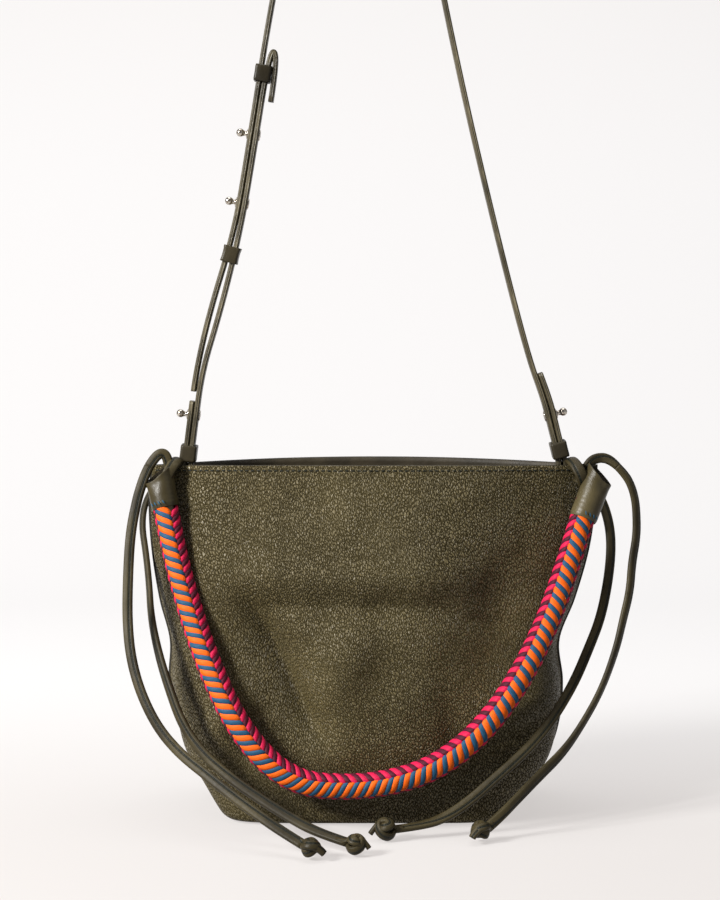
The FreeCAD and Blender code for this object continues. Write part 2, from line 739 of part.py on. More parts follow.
def tube(route, radius, label):
    """A round solid along a route; its volume is compared with section times length."""
    start = route.Vertexes[0].Point
    direction = route.Edges[0].tangentAt(route.Edges[0].FirstParameter)
    profile = Part.Wire([Part.makeCircle(radius, start, direction)])
    shape = route.makePipeShell([profile], True, False)
    expected = math.pi * radius**2 * route.Length
    print("%s: volume off by %.3f %%" % (label, 100 * (shape.Volume / expected - 1)))
    return shape


def front_face(x, height):
    """How far the bag's front stands before the side seams, at a place."""
    row = level_at(height)
    share = min(1.0, abs(x) / row["reach"])
    sin = math.sqrt(max(0.0, 1 - share ** (2 / row["power_x"])))
    wall = size("seam_half") + size("leather")
    return wall + (row["front"] - wall) * sin ** row["power_y"]


# share of the way from the lowest point to a sleeve, and the power of the curve on each side
HANDLE_SHARES = (0.22, 0.42, 0.60, 0.75, 0.88)
HANDLE_POWER = {-1: 2.4, 1: 2.75}


def sleeve_line(sign):
    """The sleeve's eye and the point where the handle's straight end stops."""
    eye = VEC(sign * SLEEVE_REACH, -size("sleeve_forward"), EYE_HEIGHT)
    lean = VEC(-sign * size("handle_lean"), -size("handle_slant"), -size("handle_straight"))
    return eye, eye + lean


def handle_route():
    """Centre line of the hanging handle, from the left sleeve down across the front to the right one."""
    low_x, low_z = size("handle_low_x"), size("handle_low_z")
    clear = size("braid_radius") + size("handle_lie")
    halves = {}
    for _, sign in SIDES:
        eye, low = sleeve_line(sign)
        top = eye + (low - eye).normalize() * size("braid_end_drop")
        half = []
        for share in HANDLE_SHARES:
            x = low_x + share * (low.x - low_x)
            z = low_z + share ** HANDLE_POWER[sign] * (low.z - low_z)
            y = -max(front_face(x, z), front_face(x, z - clear)) - clear
            half.append((x, y, z))
        half.append(tuple(low))
        half.append(tuple(top))
        halves[sign] = half
    y = -front_face(low_x, low_z) - clear
    return halves[-1][::-1] + [(low_x, y, low_z)] + halves[1]


def handle_pieces():
    """Rope core, braided cover and the two leather sleeves."""
    route = arc_route(handle_route(), "handle")
    core = tube(route, size("core_radius"), "handle_core")
    outer = tube(route, size("braid_radius"), "braid_cover")
    bore = tube(route, size("braid_bore"), "braid bore")
    feature("handle_core", core)
    feature("braid_cover", outer.cut(bore))
    for name, sign in SIDES:
        sleeve(name, sign)


def sleeve(name, sign):
    """Leather sleeve over the braid's end, with the lace's eye across it."""
    eye, low = sleeve_line(sign)
    down = (low - eye).normalize()
    turn = FreeCAD.Rotation(Z_AXIS, down)
    start = eye - down * size("sleeve_above")
    outer = DOC.addObject("Part::Cylinder", "sleeve_outer_" + name)
    bore = DOC.addObject("Part::Cylinder", "sleeve_bore_" + name)
    hole = DOC.addObject("Part::Cylinder", "sleeve_eye_" + name)
    outer.setExpression("Radius", "sizes.braid_radius + sizes.soft_gap + sizes.sleeve_wall")
    outer.setExpression("Height", "sizes.sleeve_above + sizes.sleeve_below")
    bore.setExpression("Radius", "sizes.braid_radius + sizes.soft_gap")
    bore.setExpression("Height", "sizes.sleeve_above + sizes.sleeve_below")
    hole.setExpression("Radius", "sizes.lace_radius + sizes.lace_play")
    hole.setExpression("Height", "6 * sizes.braid_radius")
    outer.Placement = FreeCAD.Placement(start, turn)
    bore.Placement = FreeCAD.Placement(start, turn)
    across = FreeCAD.Rotation(Z_AXIS, X_AXIS)
    hole.Placement = FreeCAD.Placement(eye - X_AXIS * (3 * size("braid_radius")), across)
    cuts = DOC.addObject("Part::MultiFuse", "sleeve_cuts_" + name)
    cuts.Shapes = [bore, hole]
    cut = DOC.addObject("Part::Cut", "sleeve_cut_" + name)
    cut.Base, cut.Tool = outer, cuts
    keep(cut, "handle_sleeve_" + name)


def lace_loop(sign, label):
    """The short stretch of lace through the bag's corner and across the sleeve's eye."""
    x = sign * LACE_HOLE_REACH
    back = size("lace_stand") + size("seam_half") + size("leather")
    row = level_at(EYE_HEIGHT)
    share = LACE_HOLE_REACH / row["reach"]
    back += (row["back"] - size("leather")) * (1 - share ** 2)
    out = sign * (SLEEVE_REACH + size("braid_radius") + size("lace_stand"))
    forward = -size("sleeve_forward")
    points = [(x, back, EYE_HEIGHT), (x, forward, EYE_HEIGHT), (out, forward, EYE_HEIGHT)]
    return tube(arc_route(points, label, LOOP_SHARE), size("lace_radius"), label), points


# Lace tails, from where they leave the corner down to their knots on the floor, on a body whose rim has this
# reach and height.
DRAWN_REACH, DRAWN_HEIGHT = 174, 272
LACE_TAILS = {
    "outer_right": [
        (204, -19, 259), (209, -19, 250), (210, -20, 238), (207, -22, 220), (202, -26, 197),
        (200, -32, 176), (194, -39, 155), (187, -47, 133), (174, -61, 103), (157, -73, 77),
        (143, -82, 60), (125, -92, 45), (108, -101, 30), (94, -107, 17), (84, -113, 10),
    ],
    "inner_right": [
        (164, 29, 260), (176, 29, 252), (186, 22, 238), (191, 12, 221), (192, 2, 203), (188, -12, 180),
        (180, -24, 153), (168, -36, 130), (156, -50, 109), (142, -64, 89), (126, -77, 72), (108, -87, 56),
        (88, -93, 40), (70, -97, 25), (52, -101, 14), (34, -105, 9), (14, -110, 8),
    ],
    "outer_left": [
        (-202, -21, 256), (-202, -26, 240), (-197, -35, 212), (-192, -45, 183), (-191, -55, 155),
        (-187, -67, 128), (-178, -79, 103), (-164, -92, 80), (-146, -104, 63), (-125, -117, 50),
        (-103, -131, 37), (-84, -142, 26), (-67, -152, 17), (-52, -160, 10),
    ],
    "inner_left": [
        (-164, 29, 260), (-176, 29, 252), (-185, 22, 238), (-187, 12, 221), (-183, 1, 203),
        (-179, -14, 180), (-176, -32, 156), (-169, -50, 131), (-160, -66, 108), (-147, -80, 80),
        (-130, -92, 60), (-108, -104, 45), (-86, -116, 33), (-64, -127, 22), (-42, -139, 13),
        (-20, -150, 9),
    ],
}


def with_body(points):
    """Lace points moved out and up as the body grows from the one that they are drawn for."""
    wide, tall = RIM_REACH / DRAWN_REACH, size("rim_height") / DRAWN_HEIGHT
    return [(x * wide, y, z * tall) for x, y, z in points]


def knot(name, end, before, tail):
    """An overhand knot: a pebble with the lace's tip standing out, socketed on the tail."""
    direction = (VEC(*end) - VEC(*before)).normalize()
    flat = VEC(direction.x, direction.y, 0).normalize()
    centre = VEC(end[0], end[1], 0) + flat * size("knot_radius") * size("knot_seat")
    centre.z = size("knot_radius")
    pebble = DOC.addObject("Part::Ellipsoid", name + "_pebble")
    pebble.setExpression("Radius1", "sizes.knot_radius")
    pebble.setExpression("Radius2", "sizes.knot_radius * sizes.knot_stretch")
    pebble.setExpression("Radius3", "sizes.knot_radius")
    pebble.Placement = FreeCAD.Placement(centre, FreeCAD.Rotation(X_AXIS, flat))
    tip = DOC.addObject("Part::Cone", name + "_tip")
    tip.setExpression("Radius1", "sizes.lace_radius")
    tip.setExpression("Radius2", "sizes.lace_radius / 2")
    tip.setExpression("Height", "sizes.knot_radius + sizes.knot_tip")
    slope = (flat + VEC(0, 0, -size("tip_slope"))).normalize()
    tip.Placement = FreeCAD.Placement(centre, FreeCAD.Rotation(Z_AXIS, slope))
    whole = DOC.addObject("Part::MultiFuse", name + "_fuse")
    whole.Shapes = [pebble, tip]
    cut = DOC.addObject("Part::Cut", name + "_cut")
    cut.Base, cut.Tool = whole, tail
    keep(cut, name)


def laces():
    """A folded lace at each corner: the loop that ties the handle on, two tails and their knots."""
    for name, sign in SIDES:
        label = "lace_loop_" + name
        loop, points = lace_loop(sign, label)
        feature(label, loop)
        ends = {"outer_": (points[-1], points[-2]), "inner_": (points[0], points[1])}
        for which, (start, before) in ends.items():
            straight = (VEC(*start) - VEC(*before)).normalize() * (2 * size("lace_radius"))
            route = [start, tuple(VEC(*start) + straight)] + with_body(LACE_TAILS[which + name])
            tail_label = "lace_tail_" + which + name
            shape = tube(arc_route(route, tail_label), size("lace_radius"), tail_label)
            tail = feature(tail_label, shape)
            knot("lace_knot_" + which + name, route[-1], route[-2], tail)


# ---------------------------------------------------------------- build


def check_document():
    """Stop on any object that failed, and on any sub-part that is not one or more valid solids."""
    DOC.recompute()
    for obj in DOC.Objects:
        if "Invalid" in obj.State or "Error" in obj.State:
            raise RuntimeError("%s failed: %s" % (obj.Name, obj.State))
    for obj in PARTS:
        shape = obj.Shape
        if shape.isNull() or not shape.isValid() or not shape.Solids:
            raise RuntimeError("%s has no valid solid" % obj.Label)
        if shape.Volume <= 0:
            raise RuntimeError("%s is inside out" % obj.Label)


def export_parts():
    """Write one STEP file for each sub-part."""
    os.makedirs("parts", exist_ok=True)
    for obj in PARTS:
        obj.Shape.exportStep("parts/%s.step" % obj.Label)
        box = obj.Shape.BoundBox
        print(
            "%-26s solids %d volume %9.1f  X %7.1f %7.1f  Y %7.1f %7.1f  Z %7.1f %7.1f"
            % (
                obj.Label, len(obj.Shape.Solids), obj.Shape.Volume,
                box.XMin, box.XMax, box.YMin, box.YMax, box.ZMin, box.ZMax,
            )
        )


base_plates()
body_walls()
strap_anchors()
strap_pieces()
for stud_name, stud_side, stud_rise in STUDS:
    stud(stud_name, stud_side, stud_rise)
keeper("end_keeper_right", 1, "low_keeper_rise")
keeper("end_keeper_left", -1, "low_keeper_rise")
keeper("middle_keeper", -1, "mid_keeper_rise")
keeper("top_keeper", -1, "top_keeper_rise")
handle_pieces()
laces()
check_document()
export_parts()
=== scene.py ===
import logging
import math
import random
from dataclasses import KW_ONLY, dataclass, field
from enum import Enum
from typing import Callable, Mapping, Optional, Sequence, Union

import bmesh
import bpy
from mathutils import Matrix, Vector, noise


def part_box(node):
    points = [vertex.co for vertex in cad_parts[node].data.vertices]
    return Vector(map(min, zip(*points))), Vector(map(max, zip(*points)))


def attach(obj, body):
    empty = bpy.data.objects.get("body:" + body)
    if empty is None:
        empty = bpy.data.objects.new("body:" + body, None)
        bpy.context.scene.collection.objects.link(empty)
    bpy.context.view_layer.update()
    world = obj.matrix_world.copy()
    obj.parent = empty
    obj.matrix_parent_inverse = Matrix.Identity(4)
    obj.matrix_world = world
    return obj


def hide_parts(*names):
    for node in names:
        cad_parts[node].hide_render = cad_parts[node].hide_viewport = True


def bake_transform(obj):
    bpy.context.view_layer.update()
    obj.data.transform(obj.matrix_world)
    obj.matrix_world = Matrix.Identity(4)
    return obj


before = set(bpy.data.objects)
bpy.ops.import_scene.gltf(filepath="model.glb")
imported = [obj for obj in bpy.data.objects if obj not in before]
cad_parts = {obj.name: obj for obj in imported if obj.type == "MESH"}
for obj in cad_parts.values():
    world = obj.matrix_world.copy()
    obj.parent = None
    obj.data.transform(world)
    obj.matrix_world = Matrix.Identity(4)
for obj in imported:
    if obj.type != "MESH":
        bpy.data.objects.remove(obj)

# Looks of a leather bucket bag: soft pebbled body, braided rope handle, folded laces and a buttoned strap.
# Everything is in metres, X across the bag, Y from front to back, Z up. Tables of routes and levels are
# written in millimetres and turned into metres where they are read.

LOG = logging.getLogger("bucket_bag")
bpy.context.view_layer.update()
Point = tuple[float, float, float]
Colour = tuple[float, float, float]
Socket = bpy.types.NodeSocket
Sockets = Mapping[str, Socket]
Feed = Union[float, Sequence[float], Socket]

RIM_HEIGHT = 0.272
LEATHER = 0.0022
STRAP_BACK = 0.0018


class Side(Enum):
    """Left or right of the bag as the viewer sees it."""

    LEFT = -1
    RIGHT = 1


class Face(Enum):
    """Front or back of the bag."""

    FRONT = -1
    BACK = 1


# ---------------------------------------------------------------- shader tools

# places of the colour sockets of a Mix node, whose names repeat for each type of data
MIX_FIRST, MIX_SECOND, MIX_RESULT = 6, 7, 2
FLOAT = "Float"


def srgb(red: int, green: int, blue: int) -> Colour:
    """Turn an eight-bit display colour into a linear one.

    Args:
        red: Red, 0 to 255.
        green: Green, 0 to 255.
        blue: Blue, 0 to 255.

    Returns:
        The linear colour that a shader takes.
    """
    return tuple(((c / 255 + 0.055) / 1.055) ** 2.4 if c > 10 else c / 3294.6 for c in (red, green, blue))


class Graph:
    """Adds nodes to one shader tree and joins them."""

    def __init__(self, tree: bpy.types.NodeTree) -> None:
        """Keep the tree that the nodes go into."""
        self.tree = tree

    def feed(self, socket: Socket, value: Feed) -> None:
        """Link a socket, or set its own value.

        Args:
            socket: The input to feed.
            value: An output socket, or a number, vector or colour.
        """
        if isinstance(value, Socket):
            self.tree.links.new(value, socket)
        elif socket.type == "RGBA":
            socket.default_value = (*value, 1.0)
        else:
            socket.default_value = value

    def add(
        self,
        kind: str,
        inputs: Optional[Mapping[Union[str, int], Feed]] = None,
        **settings: object,
    ) -> bpy.types.Node:
        """Add one node.

        Args:
            kind: The node's type without its ShaderNode prefix.
            inputs: What feeds its inputs, by name or place.
            **settings: The node's own properties.

        Returns:
            The new node.
        """
        node = self.tree.nodes.new("ShaderNode" + kind)
        for name, value in settings.items():
            setattr(node, name, value)
        for key, value in (inputs or {}).items():
            self.feed(node.inputs[key], value)
        return node

    def calc(self, operation: str, first: Feed, second: Feed = 0.0, clamp: bool = False) -> Socket:
        """Return the output of one Math node."""
        return self.add("Math", {0: first, 1: second}, operation=operation, use_clamp=clamp).outputs[0]

    def plus(self, first: Feed, second: Feed) -> Socket:
        """Return a sum."""
        return self.calc("ADD", first, second)

    def minus(self, first: Feed, second: Feed) -> Socket:
        """Return a difference."""
        return self.calc("SUBTRACT", first, second)

    def times(self, first: Feed, second: Feed) -> Socket:
        """Return a product."""
        return self.calc("MULTIPLY", first, second)

    def vector(self, operation: str, first: Feed, second: Feed) -> Socket:
        """Return the output of one Vector Math node that takes two vectors."""
        return self.add("VectorMath", {0: first, 1: second}, operation=operation).outputs[0]

    def spread(self, value: Feed, low: Feed, high: Feed, start: Feed = 0.0, end: Feed = 1.0) -> Socket:
        """Return a value eased from one range into another."""
        inputs = {"Value": value, "From Min": low, "From Max": high, "To Min": start, "To Max": end}
        return self.add("MapRange", inputs, interpolation_type="SMOOTHSTEP").outputs["Result"]

    def mix(self, share: Feed, first: Feed, second: Feed) -> Socket:
        """Return a colour between two others."""
        inputs = {"Factor": share, MIX_FIRST: first, MIX_SECOND: second}
        return self.add("Mix", inputs, data_type="RGBA").outputs[MIX_RESULT]

    def noise(self, vector: Feed, scale: Feed, detail: float = 2.0, roughness: float = 0.5) -> Socket:
        """Return the value of a noise texture."""
        inputs = {"Vector": vector, "Scale": scale, "Detail": detail, "Roughness": roughness}
        return self.add("TexNoise", inputs).outputs["Fac"]

    def wander(self, place: Socket, scale: Feed, detail: float, reach: Feed) -> Socket:
        """Return coordinates that a noise moves to and fro.

        Args:
            place: The coordinates.
            scale: The noise's scale.
            detail: Its detail.
            reach: How far it moves them.

        Returns:
            The moved coordinates.
        """
        colour = self.add("TexNoise", {"Vector": place, "Scale": scale, "Detail": detail}).outputs["Color"]
        centred = self.vector("SUBTRACT", colour, (0.5, 0.5, 0.5))
        moved = self.add("VectorMath", {0: centred, "Scale": reach}, operation="SCALE").outputs[0]
        return self.vector("ADD", place, moved)

    def bump(
        self, height: Feed, strength: float, distance: float, normal: Optional[Socket] = None
    ) -> Socket:
        """Return a normal bent by a height.

        Args:
            height: The height.
            strength: How strong the bump is.
            distance: What a height of one stands for.
            normal: The normal to bend, or nothing for the surface's own.

        Returns:
            The bent normal.
        """
        inputs = {"Height": height, "Strength": strength, "Distance": distance}
        if normal is not None:
            inputs["Normal"] = normal
        return self.add("Bump", inputs).outputs["Normal"]


def new_group(
    name: str,
    inputs: Mapping[str, tuple[str, Feed]],
    outputs: Mapping[str, str],
) -> tuple[Graph, Sockets, Sockets]:
    """Start a node group with named sockets.

    Args:
        name: The group's name.
        inputs: Socket type and default value by input name.
        outputs: Socket type by output name.

    Returns:
        The graph of the group, what it is given and what it makes.
    """
    tree = bpy.data.node_groups.new(name, "ShaderNodeTree")
    for label, (kind, default) in inputs.items():
        socket = tree.interface.new_socket(label, in_out="INPUT", socket_type="NodeSocket" + kind)
        if default is not None:
            socket.default_value = default
    for label, kind in outputs.items():
        tree.interface.new_socket(label, in_out="OUTPUT", socket_type="NodeSocket" + kind)
    return Graph(tree), tree.nodes.new("NodeGroupInput").outputs, tree.nodes.new("NodeGroupOutput").inputs


def pebble_group() -> bpy.types.NodeTree:
    """Build the group that gives leather a fine even grain: domed cells between thin creases.

    Returns:
        The finished group, with outputs Height and Crease.
    """
    inputs = {"Vector": ("Vector", None), "Cells": (FLOAT, 300.0), "Smoothness": (FLOAT, 0.4)}
    graph, given, made = new_group("pebble_grain", inputs, {"Height": FLOAT, "Crease": FLOAT})
    vector, cells = given["Vector"], given["Cells"]
    bent = graph.wander(vector, graph.times(cells, 0.45), 1.5, graph.calc("DIVIDE", 0.9, cells))
    domes, lines = [], []
    for finer, dome, line in ((1.0, 0.65, 1.0), (2.1, 0.35, 0.2)):
        inputs = {"Vector": bent, "Scale": graph.times(cells, finer), "Randomness": 0.9}
        distance = graph.add("TexVoronoi", inputs, feature="DISTANCE_TO_EDGE").outputs["Distance"]
        domes.append(graph.times(graph.spread(distance, 0.0, 0.40), dome))
        lines.append(graph.times(graph.spread(distance, 0.13, 0.0), line))
    lively = graph.spread(graph.noise(vector, 9.0), 0.38, 0.60)
    calm = graph.minus(1.0, graph.times(graph.minus(1.0, lively), given["Smoothness"]))
    graph.feed(made["Height"], graph.times(graph.plus(*domes), calm))
    graph.feed(made["Crease"], graph.times(graph.calc("ADD", *lines, clamp=True), calm))
    return graph.tree


def tumbled_group() -> bpy.types.NodeTree:
    """Build the group for the body's tumbled grain, leaning pebbles on the wall's own UV map.

    Returns:
        The finished group, with outputs Height, Crease and Tint.
    """
    inputs = {"UV": ("Vector", None), "Cells": (FLOAT, 0.32), "Lean": (FLOAT, -0.30)}
    outputs = {"Height": FLOAT, "Crease": FLOAT, "Tint": FLOAT}
    graph, given, made = new_group("tumbled_grain", inputs, outputs)
    cells = given["Cells"]
    parts = graph.add("SeparateXYZ", {0: given["UV"]}).outputs
    up, across = parts["X"], parts["Y"]
    drift = graph.times(graph.noise(given["UV"], 0.018, 1.0), 16.0)
    leaning = graph.plus(across, graph.plus(graph.times(up, given["Lean"]), drift))
    stretched = graph.add("CombineXYZ", {0: graph.times(up, 0.64), 1: graph.times(leaning, 1.16)}).outputs[0]
    place = graph.add("VectorRotate", {"Vector": stretched, "Angle": 0.6}, rotation_type="Z_AXIS").outputs[0]
    bent = graph.wander(place, graph.times(cells, 0.8), 1.0, 3.0)
    large = flat_cells(graph, bent, cells, "DISTANCE_TO_EDGE")["Distance"]
    small = flat_cells(graph, bent, graph.times(cells, 1.9), "DISTANCE_TO_EDGE")["Distance"]
    shade = graph.add("SeparateColor", {0: flat_cells(graph, bent, cells, "F1")["Color"]}).outputs[0]
    domes = graph.times(graph.spread(large, 0.0, 0.36), 0.78)
    graph.feed(made["Height"], graph.plus(domes, graph.times(graph.spread(small, 0.0, 0.3), 0.22)))
    lines = graph.plus(graph.spread(large, 0.24, 0.04), graph.times(graph.spread(small, 0.12, 0.0), 0.3))
    graph.feed(made["Crease"], graph.calc("MINIMUM", lines, 1.0))
    graph.feed(made["Tint"], graph.spread(shade, 0.0, 1.0, 0.88, 1.0))
    return graph.tree


def flat_cells(graph: Graph, place: Feed, scale: Feed, feature: str) -> Sockets:
    """Add one flat cell texture and return its outputs."""
    inputs = {"Vector": place, "Scale": scale, "Randomness": 1.0}
    return graph.add("TexVoronoi", inputs, voronoi_dimensions="2D", feature=feature).outputs


def stitch_group() -> bpy.types.NodeTree:
    """Build the group that draws a row of stitches along a line of a piece's UV map in millimetres.

    Returns:
        The finished group, with outputs Mask, Groove and Height.
    """
    inputs = {"UV": ("Vector", None), "Pitch": (FLOAT, 3.0), "Line": (FLOAT, 1.0), "Width": (FLOAT, 0.6)}
    outputs = {"Mask": FLOAT, "Groove": FLOAT, "Height": FLOAT}
    graph, given, made = new_group("stitch_row", inputs, outputs)
    parts = graph.add("SeparateXYZ", {0: given["UV"]}).outputs
    along = graph.calc("FRACT", graph.calc("DIVIDE", parts["X"], given["Pitch"]))
    dash = graph.spread(graph.calc("ABSOLUTE", graph.minus(along, 0.5)), 0.42, 0.30)
    away = graph.calc("ABSOLUTE", graph.minus(parts["Y"], given["Line"]))
    widths_away = graph.calc("DIVIDE", away, given["Width"])
    groove = graph.spread(widths_away, 2.2, 0.8)
    mask = graph.times(dash, graph.spread(widths_away, 1.0, 0.4))
    graph.feed(made["Mask"], mask)
    graph.feed(made["Groove"], groove)
    graph.feed(made["Height"], graph.minus(mask, graph.times(groove, 0.8)))
    return graph.tree


def handled_group() -> bpy.types.NodeTree:
    """Build the group for leather that has been handled, with its two tones in soft clouds.

    Returns:
        The finished group, with outputs Colour and Roughness.
    """
    tone = ("Color", (0.1, 0.1, 0.1, 1.0))
    inputs = {"Vector": ("Vector", None), "Dark": tone, "Light": tone, "Roughness": (FLOAT, 0.5)}
    graph, given, made = new_group("handled_leather", inputs, {"Colour": "Color", "Roughness": FLOAT})
    cloud = graph.spread(graph.noise(given["Vector"], 22.0, 3.0, 0.55), 0.34, 0.68)
    graph.feed(made["Colour"], graph.mix(cloud, given["Dark"], given["Light"]))
    swing = graph.times(graph.minus(graph.noise(given["Vector"], 90.0, 3.0), 0.5), 0.22)
    graph.feed(made["Roughness"], graph.plus(given["Roughness"], swing))
    return graph.tree


@dataclass
class Groups:
    """The node groups that several finishes share."""

    pebble: bpy.types.NodeTree = field(default_factory=pebble_group)
    tumbled: bpy.types.NodeTree = field(default_factory=tumbled_group)
    stitch: bpy.types.NodeTree = field(default_factory=stitch_group)
    handled: bpy.types.NodeTree = field(default_factory=handled_group)


# ---------------------------------------------------------------- finishes

PORES = 2600.0
PORE_DEPTH = 0.10
CREASE_SPECULAR = 0.06


@dataclass(frozen=True)
class Finish:
    """What every finish has: a name and a way to become a material."""

    name: str

    def build(self, groups: Groups) -> bpy.types.Material:
        """Make the material.

        Args:
            groups: The shared node groups.

        Returns:
            The material.
        """
        material = bpy.data.materials.new(self.name)
        material.use_nodes = True
        shader = material.node_tree.nodes["Principled BSDF"].inputs
        self.paint(Graph(material.node_tree), shader, groups)
        return material

    def paint(self, graph: Graph, shader: Sockets, groups: Groups) -> None:
        """Feed the shader. Each kind of finish has its own way.

        Args:
            graph: The material's graph.
            shader: Inputs of its Principled BSDF.
            groups: The shared node groups.
        """
        raise NotImplementedError


@dataclass(frozen=True)
class Leather(Finish):
    """Any leather: two tones and how it shines."""

    dark: Colour
    light: Colour
    _: KW_ONLY
    roughness: float = 0.4
    specular: float = 0.4

    def handled(self, graph: Graph, groups: Groups, place: Socket) -> Sockets:
        """Return the colour and roughness that handling gives the leather."""
        inputs = {"Vector": place, "Dark": self.dark, "Light": self.light, "Roughness": self.roughness}
        return graph.add("Group", inputs, node_tree=groups.handled).outputs


@dataclass(frozen=True)
class CreasedLeather(Leather):
    """Leather with dull creases between its pebbles, painted darker as shade."""

    # colour of the painted shade in the creases
    crease: Colour
    _: KW_ONLY
    depth: float = 0.0007
    crease_roughness: float = 0.25
    wrinkle_strength: float = 0.55
    wrinkle_depth: float = 0.0014
    strength: float = 0.85

    def work(self, graph: Graph, shader: Sockets, base: Sockets, crease: Socket, height: Socket) -> None:
        """Let creases, pebbles and wrinkles shape the shine.

        Args:
            graph: The material's graph.
            shader: Inputs of its Principled BSDF.
            base: Colour and roughness of the handled leather.
            crease: How deep in a crease a place is, 0 to 1.
            height: Height of the grain.
        """
        rougher = graph.times(crease, self.crease_roughness)
        graph.feed(shader["Roughness"], graph.plus(base["Roughness"], rougher))
        duller = graph.spread(crease, 0.0, 0.8, self.specular, CREASE_SPECULAR)
        graph.feed(shader["Specular IOR Level"], duller)
        place = graph.add("TexCoord").outputs["Object"]
        wrinkle = graph.noise(graph.vector("MULTIPLY", place, (1.0, 1.0, 0.8)), 70.0, 3.0, 0.6)
        wrinkled = graph.bump(wrinkle, self.wrinkle_strength, self.wrinkle_depth)
        graph.feed(shader["Normal"], graph.bump(height, self.strength, self.depth, wrinkled))


@dataclass(frozen=True)
class GrainLeather(CreasedLeather):
    """Evenly grained leather of the base, the inside and the seams."""

    cells: float = 300.0
    stretch: Point = (1.0, 1.0, 0.76)
    smoothness: float = 0.35
    roughness: float = field(default=0.36, kw_only=True)
    specular: float = field(default=0.6, kw_only=True)

    def paint(self, graph: Graph, shader: Sockets, groups: Groups) -> None:
        """Feed the shader with pebbles on the piece's own coordinates.

        Args:
            graph: Where the nodes are added.
            shader: The shader's inputs.
            groups: The shared node groups.
        """
        place = graph.add("TexCoord").outputs["Object"]
        stretched = graph.vector("MULTIPLY", place, self.stretch)
        inputs = {"Vector": stretched, "Cells": self.cells, "Smoothness": self.smoothness}
        grain = graph.add("Group", inputs, node_tree=groups.pebble).outputs
        base = self.handled(graph, groups, place)
        # painted shade: the creases are darkened towards the crease colour
        shade = graph.calc("MULTIPLY", grain["Crease"], 0.85, clamp=True)
        graph.feed(shader["Base Color"], graph.mix(shade, base["Colour"], self.crease))
        height = graph.plus(grain["Height"], graph.times(graph.noise(place, PORES, 1.0), PORE_DEPTH))
        self.work(graph, shader, base, grain["Crease"], height)


@dataclass(frozen=True)
class TumbledLeather(CreasedLeather):
    """Soft milled leather of the body, whose pebbles follow the walls, with a painted highlight on their
    tops.
    """

    # colour of the painted highlight on the tops of the pebbles
    top: Colour
    cells: float = 0.52
    # how strongly the tops are lightened by the painted highlight
    painted_highlight: float = 0.36
    roughness: float = field(default=0.40, kw_only=True)
    specular: float = field(default=0.46, kw_only=True)
    crease_roughness: float = field(default=0.3, kw_only=True)
    wrinkle_strength: float = field(default=0.4, kw_only=True)
    wrinkle_depth: float = field(default=0.0010, kw_only=True)
    strength: float = field(default=1.0, kw_only=True)

    def paint(self, graph: Graph, shader: Sockets, groups: Groups) -> None:
        """Feed the shader with pebbles on the wall's UV map, calmer in some patches.

        Args:
            graph: The material's graph.
            shader: Inputs of its Principled BSDF.
            groups: The shared node groups.
        """
        coords = graph.add("TexCoord").outputs
        place = coords["Object"]
        inputs = {"UV": coords["UV"], "Cells": self.cells}
        grain = graph.add("Group", inputs, node_tree=groups.tumbled).outputs
        base = self.handled(graph, groups, place)
        # painted highlight: the tops of the pebbles are lightened towards the highlight colour
        lit_tops = graph.times(graph.calc("POWER", grain["Height"], 2.0), grain["Tint"])
        colour = graph.mix(graph.times(lit_tops, self.painted_highlight), base["Colour"], self.top)
        # painted shade: the creases are darkened towards the crease colour, a little less in calm patches
        calm = graph.spread(graph.noise(place, 11.0, 1.0), 0.30, 0.62, 0.75, 1.0)
        shade = graph.times(grain["Crease"], graph.times(calm, 0.78))
        graph.feed(shader["Base Color"], graph.mix(shade, colour, self.crease))
        pores = graph.times(graph.noise(place, PORES, 1.0), PORE_DEPTH)
        height = graph.times(graph.plus(grain["Height"], pores), calm)
        self.work(graph, shader, base, grain["Crease"], height)


@dataclass(frozen=True)
class StrapLeather(Leather):
    """Smoother, glossier leather of straps, laces, sleeves and keepers, with its row of stitches."""

    thread: Colour
    stitch_line: float = 0.0
    pitch: float = 3.2
    stitch_width: float = 0.45
    # how strongly the groove along the stitches is darkened as painted shade
    groove: float = 0.0

    def paint(self, graph: Graph, shader: Sockets, groups: Groups) -> None:
        """Feed the shader with fine grain and, where there is a stitch line, its stitches, with painted
        shade in the creases and in the stitch groove.

        Args:
            graph: The material's graph.
            shader: Inputs of its Principled BSDF.
            groups: The shared node groups.
        """
        coords = graph.add("TexCoord").outputs
        place = coords["Object"]
        base = self.handled(graph, groups, place)
        inputs = {"Vector": place, "Cells": 900.0, "Smoothness": 0.7}
        grain = graph.add("Group", inputs, node_tree=groups.pebble).outputs
        # painted shade: the fine creases are darkened a little towards the dark tone
        colour = graph.mix(graph.times(grain["Crease"], 0.3), base["Colour"], self.dark)
        height = graph.times(grain["Height"], 0.25)
        if self.stitch_line:
            inputs = {"UV": coords["UV"], "Pitch": self.pitch}
            inputs |= {"Line": self.stitch_line, "Width": self.stitch_width}
            row = graph.add("Group", inputs, node_tree=groups.stitch).outputs
            # painted shade: the groove along the stitches is darkened towards the thread colour
            colour = graph.mix(graph.times(row["Groove"], self.groove), colour, self.thread)
            colour = graph.mix(row["Mask"], colour, self.thread)
            height = graph.plus(height, row["Height"])
        graph.feed(shader["Base Color"], colour)
        graph.feed(shader["Roughness"], base["Roughness"])
        shader["Specular IOR Level"].default_value = self.specular
        soft = graph.bump(graph.noise(place, 240.0), 0.4, 0.0006)
        graph.feed(shader["Normal"], graph.bump(height, 0.8, 0.00035, soft))


